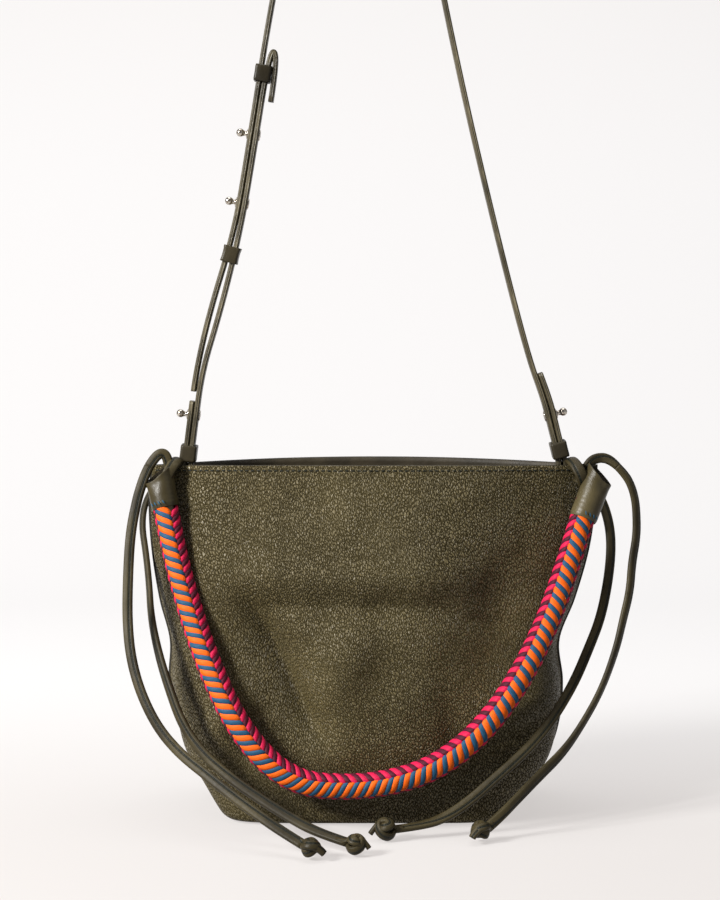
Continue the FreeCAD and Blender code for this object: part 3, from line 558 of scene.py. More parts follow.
@dataclass(frozen=True)
class SatinCord(Finish):
    """Waxed satin cord of the braid, with its fibres along the strip."""

    colour: Colour
    lift: float = 1.25
    roughness: float = 0.58
    specular: float = 0.22

    def paint(self, graph: Graph, shader: Sockets, groups: Groups) -> None:
        """Feed the shader with fibres in two sizes.

        Args:
            graph: The material's graph.
            shader: Inputs of its Principled BSDF.
            groups: The shared node groups, of which cord needs none.
        """
        fibres = graph.add("TexCoord").outputs["UV"]
        threads = graph.noise(graph.vector("MULTIPLY", fibres, (0.25, 3.2, 1.0)), 1.0, 2.0, 0.6)
        bundle = graph.noise(graph.vector("MULTIPLY", fibres, (0.12, 1.1, 1.0)), 1.0, 1.0)
        dark = tuple(0.62 * part for part in self.colour)
        light = tuple(min(1.0, self.lift * part + 0.004) for part in self.colour)
        graph.feed(shader["Base Color"], graph.mix(graph.spread(threads, 0.3, 0.7), dark, light))
        rough = graph.spread(threads, 0.2, 0.8, self.roughness + 0.12, self.roughness - 0.06)
        graph.feed(shader["Roughness"], rough)
        shader["Specular IOR Level"].default_value = self.specular
        height = graph.plus(graph.times(threads, 0.6), graph.times(bundle, 0.7))
        graph.feed(shader["Normal"], graph.bump(height, 0.7, 0.00035))


@dataclass(frozen=True)
class AgedNickel(Finish):
    """Polished nickel with faint tarnish, for studs, screws and rings."""

    colour: Colour
    tarnish: Colour

    def paint(self, graph: Graph, shader: Sockets, groups: Groups) -> None:
        """Feed the shader with stains that dull the metal.

        Args:
            graph: The material's graph.
            shader: Inputs of its Principled BSDF.
            groups: The shared node groups, of which metal needs none.
        """
        place = graph.add("TexCoord").outputs["Object"]
        stain = graph.spread(graph.noise(place, 700.0, 3.0, 0.6), 0.42, 0.7)
        graph.feed(shader["Base Color"], graph.mix(stain, self.colour, self.tarnish))
        graph.feed(shader["Roughness"], graph.spread(stain, 0.0, 1.0, 0.16, 0.36))
        shader["Metallic"].default_value = 1.0


@dataclass(frozen=True)
class PlainCloth(Finish):
    """Twisted or woven matter inside the bag and the handle."""

    dark: Colour
    light: Colour
    pitch: float = 900.0

    def paint(self, graph: Graph, shader: Sockets, groups: Groups) -> None:
        """Feed the shader with a slanting weave.

        Args:
            graph: The material's graph.
            shader: Inputs of its Principled BSDF.
            groups: The shared node groups, of which cloth needs none.
        """
        place = graph.add("TexCoord").outputs["Object"]
        inputs = {"Vector": place, "Scale": self.pitch, "Distortion": 1.5, "Detail": 1.0}
        weave = graph.add("TexWave", inputs, bands_direction="DIAGONAL").outputs["Fac"]
        graph.feed(shader["Base Color"], graph.mix(weave, self.dark, self.light))
        graph.feed(shader["Roughness"], graph.spread(weave, 0.0, 1.0, 0.9, 0.75))
        graph.feed(shader["Normal"], graph.bump(weave, 0.5, 0.0004))


# olive tones of the leather, then the colour of the painted shade in its creases
OLIVE = srgb(82, 73, 44), srgb(94, 84, 53), srgb(23, 18, 8)
# colour of the painted highlight on the tops of the body's pebbles
OLIVE_HIGHLIGHT = srgb(127, 113, 78)
# colour of the thread, which is also painted as shade into the stitch grooves of laces and keepers
THREAD_GREEN = srgb(16, 20, 13)
# every finish by its short name; the colours of leather are dark, light, then the colour of the painted
# shade in the creases, or thread
FINISHES: dict[str, Finish] = {
    "body": TumbledLeather("body_leather", *OLIVE, OLIVE_HIGHLIGHT),
    "base": GrainLeather("base_leather", *OLIVE, depth=0.0003),
    "inside": GrainLeather(
        "inside_leather", srgb(38, 33, 22), srgb(56, 49, 35), srgb(26, 22, 14), 700.0,
        depth=0.0002, roughness=0.75, specular=0.2,
    ),
    "edge": GrainLeather(
        "seam_edge", srgb(26, 24, 18), srgb(48, 44, 34), srgb(16, 14, 10), 900.0,
        depth=0.0001, roughness=0.5, specular=0.35,
    ),
    "lace": StrapLeather(
        "lace_leather", srgb(40, 34, 19), srgb(70, 62, 39), THREAD_GREEN,
        stitch_line=2.7, pitch=2.6, stitch_width=0.6, groove=0.8, roughness=0.5, specular=0.2,
    ),
    "strap": StrapLeather(
        "strap_leather", srgb(50, 45, 29), srgb(80, 72, 51), THREAD_GREEN,
        stitch_line=1.9, pitch=3.6, roughness=0.44, specular=0.3,
    ),
    "strap_edge": StrapLeather(
        "strap_edge", srgb(70, 63, 45), srgb(122, 113, 90), srgb(10, 10, 8),
        stitch_line=0.001, pitch=50.0, stitch_width=0.4, roughness=0.36,
    ),
    "keeper": StrapLeather(
        "keeper_leather", srgb(34, 29, 17), srgb(60, 53, 36), THREAD_GREEN,
        stitch_line=1.6, pitch=2.2, groove=0.5, roughness=0.42, specular=0.25,
    ),
    "facing": StrapLeather(
        "facing_leather", srgb(44, 38, 26), srgb(66, 58, 42), srgb(20, 22, 16), roughness=0.55
    ),
    "sleeve": StrapLeather(
        "sleeve_leather", srgb(56, 49, 30), srgb(86, 77, 52), srgb(20, 60, 90), roughness=0.38, specular=0.3
    ),
    "orange": SatinCord("braid_orange", srgb(255, 104, 6), 1.1),
    "blue": SatinCord("braid_blue", srgb(30, 78, 110)),
    "magenta": SatinCord("braid_magenta", srgb(206, 20, 72)),
    "maroon": SatinCord("braid_maroon", srgb(74, 8, 32)),
    "nickel": AgedNickel("aged_nickel", srgb(196, 190, 180), srgb(120, 104, 84)),
    "thread": SatinCord("stitch_thread", THREAD_GREEN),
    "blue_thread": SatinCord("tie_thread", srgb(30, 84, 112)),
    "rope": PlainCloth("rope_core", srgb(120, 104, 76), srgb(176, 160, 128), 700.0),
    "board": PlainCloth("board_lining", srgb(34, 30, 22), srgb(50, 44, 33), 1200.0),
}


class Wardrobe:
    """Every material of the bag, made once."""

    def __init__(self) -> None:
        """Build the materials from their finishes."""
        groups = Groups()
        self.materials = {key: finish.build(groups) for key, finish in FINISHES.items()}

    def pick(self, *keys: str) -> list[bpy.types.Material]:
        """Return materials by their short names."""
        return [self.materials[key] for key in keys]


# ---------------------------------------------------------------- shape tools


SOFT_EDGE = 0.0011
BESIDE = Vector((0, 1, 0))


def metres(points: Sequence[Sequence[float]]) -> list[Vector]:
    """Turn points in millimetres into vectors in metres."""
    return [Vector(point) / 1000 for point in points]


def read_line(route: Sequence[Vector], resolution: int = 8) -> list[Vector]:
    """Read the points of the smooth NURBS line that a route controls.

    Args:
        route: Control points.
        resolution: Points for each span of the line.

    Returns:
        Points along the line.
    """
    curve = bpy.data.curves.new("line", "CURVE")
    curve.dimensions = "3D"
    curve.resolution_u = resolution
    spline = curve.splines.new("NURBS")
    spline.points.add(len(route) - 1)
    for control, place in zip(spline.points, route):
        control.co = (*place, 1.0)
    spline.order_u = 3
    spline.use_endpoint_u = True
    holder = bpy.data.objects.new("line", curve)
    mesh = bpy.data.meshes.new_from_object(holder)
    points = [vertex.co.copy() for vertex in mesh.vertices]
    bpy.data.objects.remove(holder)
    bpy.data.meshes.remove(mesh)
    bpy.data.curves.remove(curve)
    return points


def lengths_along(line: Sequence[Vector]) -> list[float]:
    """Return how far along a line each of its points is.

    Args:
        line: Points of the line.

    Returns:
        One length for each point, from nought.
    """
    marks = [0.0]
    for before, after in zip(line, line[1:]):
        marks.append(marks[-1] + (after - before).length)
    return marks


def resample(line: Sequence[Vector], count: int) -> list[Vector]:
    """Return points evenly spaced along a line.

    Args:
        line: Points of the line.
        count: How many spans to divide it into.

    Returns:
        One point more than there are spans.
    """
    marks = lengths_along(line)
    points, index = [], 0
    for step in range(count + 1):
        goal = marks[-1] * step / count
        while index < len(marks) - 2 and marks[index + 1] < goal:
            index += 1
        span = marks[index + 1] - marks[index]
        share = (goal - marks[index]) / span if span else 0.0
        points.append(line[index].lerp(line[index + 1], share))
    return points


def directions(line: Sequence[Vector]) -> list[Vector]:
    """Return the direction of a line at each of its points."""
    last = len(line) - 1
    return [(line[min(i + 1, last)] - line[max(i - 1, 0)]).normalized() for i in range(last + 1)]


def square_to(direction: Vector, hint: Vector) -> Vector:
    """Return the unit vector nearest to a hint that is square to a direction."""
    return (hint - direction * hint.dot(direction)).normalized()


def band_profile(width: float, thick: float, crown: float = 0.0) -> list[tuple[float, float]]:
    """Points round a flat band with soft edges, as across and out from its middle.

    Args:
        width: Width of the band.
        thick: Its thickness.
        crown: How far its two faces bulge in the middle.

    Returns:
        Profile points, clockwise.
    """
    half, deep = width / 2, thick / 2
    soft = min(0.45 * thick, SOFT_EDGE)
    nick, bulge = 0.3 * soft, 0.75 * crown
    ring = [(-half + soft, deep), (-half * 0.5, deep + bulge), (0.0, deep + crown)]
    ring += [(half * 0.5, deep + bulge), (half - soft, deep)]
    ring += [(half - nick, deep - nick), (half, deep - soft), (half, 0.0)]
    ring += [(half, soft - deep), (half - nick, nick - deep)]
    ring += [(-a, -b) for a, b in ring]
    return ring[::-1]


def skin(
    bm: bmesh.types.BMesh,
    rows: Sequence[Sequence[Vector]],
    along: Sequence[float],
    across: Sequence[float],
    closed: bool = False,
    material_of: Callable[[int], int] = lambda column: 0,
) -> list[list[bmesh.types.BMVert]]:
    """Join rows of points with faces and give them a UV map in millimetres.

    Args:
        bm: The mesh to add to.
        rows: Rows of equally many points.
        along: U of each row.
        across: V of each column, with one more where the rows are closed.
        closed: Whether each row is a ring.
        material_of: Material index by column.

    Returns:
        The new vertices, row by row.
    """
    layer = bm.loops.layers.uv.verify()
    grid = [[bm.verts.new(point) for point in row] for row in rows]
    count = len(rows[0])
    for row in range(len(rows) - 1):
        for column in range(count if closed else count - 1):
            corners = ((row, column), (row, column + 1), (row + 1, column + 1), (row + 1, column))
            face = bm.faces.new([grid[i][j % count] for i, j in corners])
            face.material_index = material_of(column)
            face.smooth = True
            for loop, (i, j) in zip(face.loops, corners):
                loop[layer].uv = (along[i], across[j])
    return grid


def sweep(
    bm: bmesh.types.BMesh,
    line: Sequence[Vector],
    profile: Sequence[tuple[float, float]],
    across_at: Callable[[float, Vector], Vector],
    girth: Callable[[float], tuple[float, float]] = lambda share: (1.0, 1.0),
    edge_material: int = 0,
) -> None:
    """Carry a profile along a line and close its ends.

    Args:
        bm: The mesh to add to.
        line: The line.
        profile: Points round the profile.
        across_at: The direction of the profile's width, from the share of the way and the direction there.
        girth: How many times wider and thicker the profile is at each share of the way.
        edge_material: Material index of the profile's narrow sides.
    """
    marks = lengths_along(line)
    half = max(a for a, _ in profile)
    rows = []
    for place, direction, mark in zip(line, directions(line), marks):
        share = mark / marks[-1]
        flat = square_to(direction, across_at(share, direction))
        out = flat.cross(direction)
        wide, deep = girth(share)
        rows.append([place + flat * (a * wide) + out * (b * deep) for a, b in profile])
    on_edge = [abs(a) > 0.97 * half for a, _ in profile]
    across = [1000 * (b if edge else a + half) for (a, b), edge in zip(profile, on_edge)]
    across.append(across[0])

    def material_of(column: int) -> int:
        """Return the edge's material on the narrow sides."""
        after = (column + 1) % len(profile)
        return edge_material if on_edge[column] and on_edge[after] else 0

    grid = skin(bm, rows, [1000 * mark for mark in marks], across, True, material_of)
    bm.faces.new(grid[0][::-1]).smooth = True
    bm.faces.new(grid[-1]).smooth = True


def as_piece(
    name: str,
    bm: bmesh.types.BMesh,
    materials: Sequence[bpy.types.Material],
    body: str,
    stands_for: Sequence[str] = (),
) -> bpy.types.Object:
    """Turn a mesh under construction into a finished piece that rides on a body.

    Args:
        name: The piece's name.
        bm: Its mesh, which is freed.
        materials: Its materials, in the order of its material indices.
        body: The body that it moves with, or nothing to leave it unattached.
        stands_for: The CAD nodes that it replaces.

    Returns:
        The new object.
    """
    bmesh.ops.recalc_face_normals(bm, faces=bm.faces)
    mesh = bpy.data.meshes.new(name)
    bm.to_mesh(mesh)
    bm.free()
    for material in materials:
        mesh.materials.append(material)
    piece = bpy.data.objects.new(name, mesh)
    bpy.context.collection.objects.link(piece)
    if body:
        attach(piece, body)
    if stands_for:
        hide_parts(*stands_for)
    LOG.info("%s: %d faces", name, len(mesh.polygons))
    return piece


def soften(piece: bpy.types.Object) -> None:
    """Add a subdivision surface to a piece."""
    modifier = piece.modifiers.new("soften", "SUBSURF")
    modifier.levels = modifier.render_levels = 1


def thicken(piece: bpy.types.Object, thickness: float, inside: int, rim: int, even: bool = False) -> None:
    """Give an open surface its thickness, inwards.

    Args:
        piece: The piece.
        thickness: How thick it becomes.
        inside: Material index of its inner surface.
        rim: Material index of its edge.
        even: Whether the thickness is kept at keen bends.
    """
    modifier = piece.modifiers.new("thickness", "SOLIDIFY")
    modifier.thickness = thickness
    modifier.offset = -1
    modifier.use_even_offset = even
    modifier.material_offset = inside
    modifier.material_offset_rim = rim


def add_stitch(bm: bmesh.types.BMesh, place: Vector, along: Vector, out: Vector, half: Point) -> None:
    """Add one stitch of thread, a small pillow.

    Args:
        bm: The mesh to add to.
        place: Its middle.
        along: Its direction.
        out: The direction away from the leather.
        half: Half of its length, height and width.
    """
    turn = Matrix((along, out, along.cross(out))).transposed().to_4x4()
    lie = Matrix.Translation(place) @ turn @ Matrix.Diagonal((*half, 1))
    bmesh.ops.create_uvsphere(bm, u_segments=8, v_segments=6, radius=1, matrix=lie)


def rounded_box(half_x: float, half_y: float, corner: float, steps: int) -> list[tuple[float, float]]:
    """Points round a rectangle with round corners.

    Args:
        half_x: Half of its width.
        half_y: Half of its height.
        corner: Radius of its corners.
        steps: Steps in each corner.

    Returns:
        The points, counter-clockwise.
    """
    points = []
    for quarter, (right, up) in enumerate(((1, 1), (-1, 1), (-1, -1), (1, -1))):
        for step in range(steps + 1):
            angle = math.pi / 2 * (quarter + step / steps)
            x = right * (half_x - corner) + corner * math.cos(angle)
            points.append((x, up * (half_y - corner) + corner * math.sin(angle)))
    return points


def facing_along(first: Vector, last: Vector) -> Callable[[float, Vector], Vector]:
    """Return the width direction of a band whose broad side turns from facing one way to another."""
    return lambda share, direction: direction.cross(first.lerp(last, share))


# ---------------------------------------------------------------- body


FOLD_ROUND = 0.0016


@dataclass(frozen=True)
class Level:
    """Outline of the body at one height, in metres."""

    height: float
    left: float
    right: float
    front: float
    back: float
    power_x: float
    power_y: float


def turned_offsets(x: float, z: float, turn: float) -> tuple[float, float]:
    """Return two offsets along and across a direction that is turned from the X axis."""
    cos, sin = math.cos(turn), math.sin(turn)
    return cos * x + sin * z, cos * z - sin * x


@dataclass(frozen=True)
class Swell:
    """One soft rise or dent of a wall."""

    x: float
    z: float
    wide: float
    tall: float
    rise: float
    turn: float = 0.0

    def at(self, x: float, z: float) -> float:
        """Return the wall's rise at a place."""
        along, up = turned_offsets(x - self.x, z - self.z, self.turn)
        return self.rise * math.exp(-((along / self.wide) ** 2) - (up / self.tall) ** 2)


@dataclass(frozen=True)
class Fold:
    """One keen valley of a wall, with its own slope on each side."""

    x: float
    z: float
    long: float
    above: float
    below: float
    depth: float
    turn: float = 0.0

    def at(self, x: float, z: float) -> float:
        """Return the wall's rise at a place.

        Args:
            x: How far right of the middle.
            z: Height above the floor.

        Returns:
            The rise, below nought in the valley.
        """
        along, up = turned_offsets(x - self.x, z - self.z, self.turn)
        soft = math.hypot(up, FOLD_ROUND) - FOLD_ROUND
        reach = self.above if up > 0 else self.below
        return -self.depth * math.exp(-soft / reach) * math.exp(-((along / self.long) ** 4))


def in_metres(*lengths: float) -> tuple[float, ...]:
    """Turn millimetres into metres."""
    return tuple(length / 1000 for length in lengths)


def fold(
    x: float, z: float, long: float, above: float, below: float, depth: float, degrees: float = 0.0
) -> Fold:
    """Return a valley whose lengths are given in millimetres."""
    return Fold(*in_metres(x, z, long, above, below, depth), math.radians(degrees))


def level(
    height: float, left: float, right: float, front: float, back: float, px: float, py: float
) -> Level:
    """Return a level whose lengths are given in millimetres."""
    return Level(*in_metres(height, left, right, front, back), px, py)


def swell(x: float, z: float, wide: float, tall: float, rise: float, degrees: float = 0.0) -> Swell:
    """Return a rise or dent whose lengths are given in millimetres."""
    return Swell(*in_metres(x, z, wide, tall, rise), math.radians(degrees))


# height, left and right reach, front and back depth, squareness along X and Y
LEVELS = (
    level(0.6, 115, 100, 67.5, 64, 0.31, 0.31),
    level(3.2, 119, 104, 70, 66.5, 0.32, 0.32),
    level(12, 126, 109, 70, 67, 0.37, 0.37),
    level(20, 132, 118, 72, 70, 0.46, 0.46),
    level(42, 146, 137, 79, 76, 0.62, 0.60),
    level(70, 155, 146, 81, 78, 0.70, 0.70),
    level(100, 161, 148, 80, 77, 0.75, 0.80),
    level(132, 160, 145, 75, 72, 0.80, 0.90),
    level(165, 168, 157, 68, 67, 0.85, 1.10),
    level(205, 174, 168, 57, 58, 0.92, 1.45),
    level(243, 176, 173, 43, 51, 1.00, 1.80),
    level(272, 174, 174, 33, 47, 1.00, 2.00),
)
FRONT_SWELLS = (
    fold(-18, 167, 74, 15, 13, 9.0, 0),
    swell(-20, 189, 84, 13, 5.5),
    fold(76, 156, 40, 16, 10, 5.0, -14),
    fold(-70, 116, 60, 14, 22, 28.0, -60),
    swell(-106, 112, 11, 42, 3.5, 27),
    swell(-134, 212, 15, 50, 5),
    swell(-26, 124, 22, 42, 9.0, -14),
    swell(94, 128, 44, 46, -13.0, -14),
    swell(-118, 230, 9, 34, 2.0),
    swell(-82, 232, 10, 36, 2.0),
    swell(-22, 236, 14, 34, 1.8),
    swell(108, 186, 34, 34, -8.0, -20),
    swell(112, 84, 26, 20, 6.0, 12),
    fold(112, 70, 26, 9, 8, 6.0, 24),
    swell(-118, 82, 12, 22, 5.0, -18),
    swell(-96, 66, 9, 30, -5.0, -20),
    swell(62, 66, 10, 34, -4.0, 14),
    swell(-30, 40, 34, 12, -2.5),
)
BACK_SWELLS = (
    swell(-20, 150, 60, 40, 4.0, 6),
    swell(70, 100, 30, 50, -4.0, -14),
    swell(-90, 90, 30, 40, 3.0, 20),
    swell(30, 220, 70, 18, -2.5),
)
SEAM_RIDGE = 0.0013


@dataclass(frozen=True)
class BodyShape:
    """The soft walls of the bag as a formula."""

    seam_half: float = 0.0006
    columns: int = 128
    fine_steps: int = 720
    rim_rise: float = 0.0026
    unevenness: float = 0.0016

    def level_at(self, height: float) -> Level:
        """Return the outline at a height, smooth through the levels.

        Args:
            height: Height above the floor.

        Returns:
            The level there.
        """
        height = max(LEVELS[0].height, min(LEVELS[-1].height, height))
        index = max(i for i, row in enumerate(LEVELS[:-1]) if row.height <= height)
        low, high = LEVELS[index], LEVELS[index + 1]
        before, after = LEVELS[max(index - 1, 0)], LEVELS[min(index + 2, len(LEVELS) - 1)]
        span = high.height - low.height
        t = (height - low.height) / span
        values = []
        for name in ("left", "right", "front", "back", "power_x", "power_y"):
            v0, v1, v2, v3 = (getattr(row, name) for row in (before, low, high, after))
            m1 = (v2 - v0) / (high.height - before.height) * span
            m2 = (v3 - v1) / (after.height - low.height) * span
            cubic = (2 * t**3 - 3 * t**2 + 1) * v1 + (t**3 - 2 * t**2 + t) * m1
            values.append(cubic + (3 * t**2 - 2 * t**3) * v2 + (t**3 - t**2) * m2)
        return Level(height, *values)

    def rim_lift(self, x: float) -> float:
        """Return how far the rim's edge stands above its corners."""
        return self.rim_rise * max(0.0, 1 - (x / 0.172) ** 2)

    def outline(self, face: Face, height: float, inset: float = 0.0) -> list[Vector]:
        """Return one row of a wall from the right seam to the left one.

        Args:
            face: Front or back.
            height: Height above the floor.
            inset: How far inside the outer surface.

        Returns:
            Evenly spaced points.
        """
        row = self.level_at(height)
        depth = row.front if face is Face.FRONT else row.back
        start = self.seam_half + LEATHER
        fine = [Vector((row.right - inset, face.value * self.seam_half, height))]
        for step in range(self.fine_steps + 1):
            angle = math.pi * step / self.fine_steps
            cos, sin = math.cos(angle), max(0.0, math.sin(angle))
            reach = (row.right if cos > 0 else row.left) - inset
            # the outline is taken in fine even steps of the angle and then resampled evenly along its length
            x = math.copysign(abs(cos) ** row.power_x, cos) * reach
            y = start - inset + (depth - start) * sin**row.power_y
            fine.append(Vector((x, face.value * y, height)))
        fine.append(Vector((inset - row.left, face.value * self.seam_half, height)))
        return resample(fine, self.columns)

    def wall_row(self, face: Face, share: float) -> list[Vector]:
        """Return one row of the finished wall, with its dents, creases and seam ridges.

        Args:
            face: Front or back.
            share: Share of the way from the base to the rim.

        Returns:
            The points of the row.
        """
        height = LEVELS[0].height + share * (RIM_HEIGHT - LEVELS[0].height)
        points = self.outline(face, height)
        marks = lengths_along(points)
        swells = FRONT_SWELLS if face is Face.FRONT else BACK_SWELLS
        row = []
        for point, direction, mark in zip(points, directions(points), marks):
            out = Vector((direction.y, -direction.x, 0)) * -face.value
            if out.y * face.value < 0:
                out.negate()
            middle = math.sin(math.pi * mark / marks[-1])
            rise = sum(item.at(point.x, height) for item in swells) * min(1.0, 3 * middle)
            held = min(1.0, 6 * share) * min(1.0, 9 * (1 - share) + 0.12) * min(1.0, 8 * middle)
            rise += self.unevenness * held * self.crumple(point, face)
            away = min(mark, marks[-1] - mark)
            rise += SEAM_RIDGE * math.exp(-((away / 0.0035) ** 2))
            rise -= 0.0006 * math.exp(-(((away - 0.008) / 0.004) ** 2))
            lift = self.rim_lift(point.x) * max(0.0, share - 0.85) / 0.15
            row.append(point + out * rise + Vector((0, 0, lift)))
        return row

    def crumple(self, point: Vector, face: Face) -> float:
        """Return the small unevenness of soft leather at a place.

        Args:
            point: The place.
            face: Front or back.

        Returns:
            The unevenness, about -1 to 1.
        """
        place = Vector((point.x * 16, 7.0 * face.value, point.z * 22))
        fine = Vector((point.x * 42, 3.0 * face.value, point.z * 46))
        return noise.noise(place) * 1.3 + noise.noise(fine) * 0.45

    def reach(self, side: Side, height: float) -> float:
        """Return how far a side seam is from the middle."""
        row = self.level_at(height)
        return row.right if side is Side.RIGHT else row.left


@dataclass
class BagBody:
    """The leather body: front, back, base, facings, side seams and rim stitching."""

    wardrobe: Wardrobe
    shape: BodyShape = field(default_factory=BodyShape)
    stitch_pitch: float = 0.0046
    stitch_drop: float = 0.0042
    stitch_half: tuple[float, float] = (0.0005, 0.00062)
    stitch_proud: float = 0.00012
    seam_half: float = 0.00045
    rows: int = 92
    seam_steps: int = 69
    base_half: tuple[float, float] = (0.104, 0.065)
    base_corner: float = 0.036
    base_shift: float = -0.005
    facing_steps: int = 8
    facing_thick: float = 0.0012

    def build(self) -> None:
        """Make every piece of the body."""
        for face, name in ((Face.FRONT, "front"), (Face.BACK, "back")):
            self.wall(face, name)
            self.facing(face, name)
            self.rim_stitches(face, name)
        for side in Side:
            self.seam(side)
        self.base()

    def wall(self, face: Face, name: str) -> None:
        """Make one leather half with its thickness and rim edge.

        Args:
            face: Front or back.
            name: First word of its name.
        """
        bm = bmesh.new()
        rows = [self.shape.wall_row(face, step / self.rows) for step in range(self.rows + 1)]
        along = [1000 * row[0].z for row in rows]
        across = [1000 * mark for mark in lengths_along(rows[self.rows // 2])]
        skin(bm, rows, along, across)
        looks = self.wardrobe.pick("body", "inside", "edge")
        piece = as_piece(name + "_wall", bm, looks, "bag", [name + "_panel"])
        self.point_outwards(piece, face)
        thicken(piece, LEATHER, 1, 2, even=True)
        soften(piece)

    def point_outwards(self, piece: bpy.types.Object, face: Face) -> None:
        """Turn a wall's normals away from the bag.

        Args:
            piece: The wall.
            face: Front or back.
        """
        polygon = max(piece.data.polygons, key=lambda p: face.value * p.center.y)
        if polygon.normal.y * face.value < 0:
            piece.data.flip_normals()

    def facing(self, face: Face, name: str) -> None:
        """Make the strip of leather that lines the rim inside.

        Args:
            face: Front or back.
            name: First word of its name.
        """
        bm = bmesh.new()
        box_low, box_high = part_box(name + "_rim_facing")
        reach = box_high[0] + 0.012
        rows = []
        for step in range(self.facing_steps + 1):
            height = box_low[2] + (box_high[2] - box_low[2]) * step / self.facing_steps
            lift = max(0.0, (height - 0.23) / 0.042)
            outline = self.shape.outline(face, height, LEATHER + 0.0007)
            row = [point for point in outline if abs(point.x) < reach]
            rows.append([p + Vector((0, 0, self.shape.rim_lift(p.x) * lift - 0.0004)) for p in row])
        count = min(len(row) for row in rows)
        rows = [row[(len(row) - count) // 2 :][:count] for row in rows]
        skin(bm, rows, [1000 * row[0].z for row in rows], [1000 * mark for mark in lengths_along(rows[0])])
        looks = self.wardrobe.pick("facing", "edge")
        piece = as_piece(name + "_facing", bm, looks, "bag", [name + "_rim_facing"])
        self.point_outwards(piece, face)
        thicken(piece, self.facing_thick, 0, 1)

    def rim_stitches(self, face: Face, name: str) -> None:
        """Make the row of thread below the rim.

        Args:
            face: Front or back.
            name: First word of its name.
        """
        bm = bmesh.new()
        share = 1 - self.stitch_drop / (RIM_HEIGHT - LEVELS[0].height)
        line = self.shape.wall_row(face, share)
        count = int(lengths_along(line)[-1] / self.stitch_pitch)
        line = resample(line, 2 * count)
        heading = directions(line)
        half = (0.36 * self.stitch_pitch, *self.stitch_half)
        for index in range(3, 2 * count - 2, 2):
            out = square_to(heading[index], Vector((0, face.value, 0)))
            add_stitch(bm, line[index] + out * self.stitch_proud, heading[index], out, half)
        as_piece(name + "_rim_stitches", bm, self.wardrobe.pick("thread"), "bag")

    def seam(self, side: Side) -> None:
        """Make the dark strip caught between the two halves at one side.

        Args:
            side: Left or right.
        """
        bm = bmesh.new()
        name, half = side.name.lower(), self.seam_half
        rows = []
        for step in range(self.seam_steps + 1):
            height = LEVELS[0].height + (RIM_HEIGHT - LEVELS[0].height) * step / self.seam_steps
            out = self.shape.reach(side, height) + SEAM_RIDGE
            section = [(out - 0.004, -half), (out + 0.0008, -half), (out + 0.0012, 0.0)]
            section += [(out + 0.0008, half), (out - 0.004, half)]
            rows.append([Vector((side.value * x, y, height)) for x, y in section])
        grid = skin(bm, rows, list(range(self.seam_steps + 1)), list(range(6)), True)
        bm.faces.new(grid[0][::-1])
        bm.faces.new(grid[-1])
        looks = self.wardrobe.pick("edge")
        as_piece("side_seam_" + name, bm, looks, "bag", ["side_piping_" + name])

    def base(self) -> None:
        """Make the base leather and the board that stiffens it."""
        for name, height, thick, grow, look, slot in (
            ("base_panel", 0.0004, LEATHER, -0.0045, "base", "pebbled_leather"),
            ("base_board", 0.0026, 0.002, -0.006, "board", "board"),
        ):
            bm = bmesh.new()
            half_x, half_y = self.base_half
            ring = rounded_box(half_x + grow, half_y + grow, self.base_corner + grow, 12)
            bottom = bm.faces.new([bm.verts.new((x + self.base_shift, y, height)) for x, y in ring])
            bmesh.ops.inset_region(bm, faces=[bottom], thickness=0.02)
            lifted = bmesh.ops.extrude_face_region(bm, geom=list(bm.faces))
            verts = [item for item in lifted["geom"] if isinstance(item, bmesh.types.BMVert)]
            bmesh.ops.translate(bm, verts=verts, vec=(0, 0, thick))
            rim = [edge for edge in bm.edges if len(edge.link_faces) == 2 and edge.calc_face_angle() > 1.0]
            bmesh.ops.bevel(
                bm, geom=rim, offset=0.0006, segments=2, affect="EDGES", profile=0.5, material=-1
            )
            as_piece(name + "_leather", bm, self.wardrobe.pick(look), "bag", [name])


# ---------------------------------------------------------------- handle

# left sleeve, down across the front, right sleeve
SLEEVE_EYES = {Side.LEFT: (-0.1675, -0.019, 0.262), Side.RIGHT: (0.1745, -0.019, 0.262)}
SLEEVE_LOWS = {Side.LEFT: (-0.1560, -0.033, 0.212), Side.RIGHT: (0.1540, -0.033, 0.212)}
HANDLE_ROUTE = metres(
    [
        (-165.0, -21.8, 252.1),
        (-157.0, -33.0, 212.0),
        (-142.9, -47.6, 165.1),
        (-126.5, -66.8, 123.5),
        (-107.6, -81.0, 86.6),
        (-84.9, -87.4, 56.6),
        (-59.7, -89.2, 39.2),
        (-32.0, -88.7, 34.5),
        (9.8, -89.9, 37.3),
        (47.8, -91.4, 50.8),
        (82.0, -88.3, 78.1),
        (110.5, -77.3, 115.0),
        (135.2, -54.2, 159.4),
        (155.0, -33.0, 212.0),
        (168.5, -21.8, 252.1),
    ]
)
CORE_RADIUS = 0.0066
SLEEVE_ENDS = {Side.LEFT: 0.0235, Side.RIGHT: 0.034}
MOUTH_OUTER, MOUTH_FRONT = 0.0056, 0.0040


@dataclass(frozen=True)
class Strand:
    """One braided cord: its column round the handle, its place in the repeat and its width."""

    name: str
    columns: tuple[int, int]
    start: float
    width: float


# how far a braided cord runs along the handle while it crosses its column, by share of the way
BRAID_SLOPES = (
    (0.0, 0.0092),
    (0.35, 0.0084),
    (0.5, 0.0088),
    (0.62, 0.0062),
    (0.72, 0.0044),
    (0.85, 0.0065),
    (1.0, 0.0088),
)
STRANDS = {
    "orange": Strand("braid_orange", (0, 2), 0.0, 0.60),
    "blue": Strand("braid_blue", (0, 2), 0.56, 0.50),
    "magenta": Strand("braid_magenta", (1, 3), 0.0, 0.58),
    "maroon": Strand("braid_maroon", (1, 3), 0.54, 0.52),
}


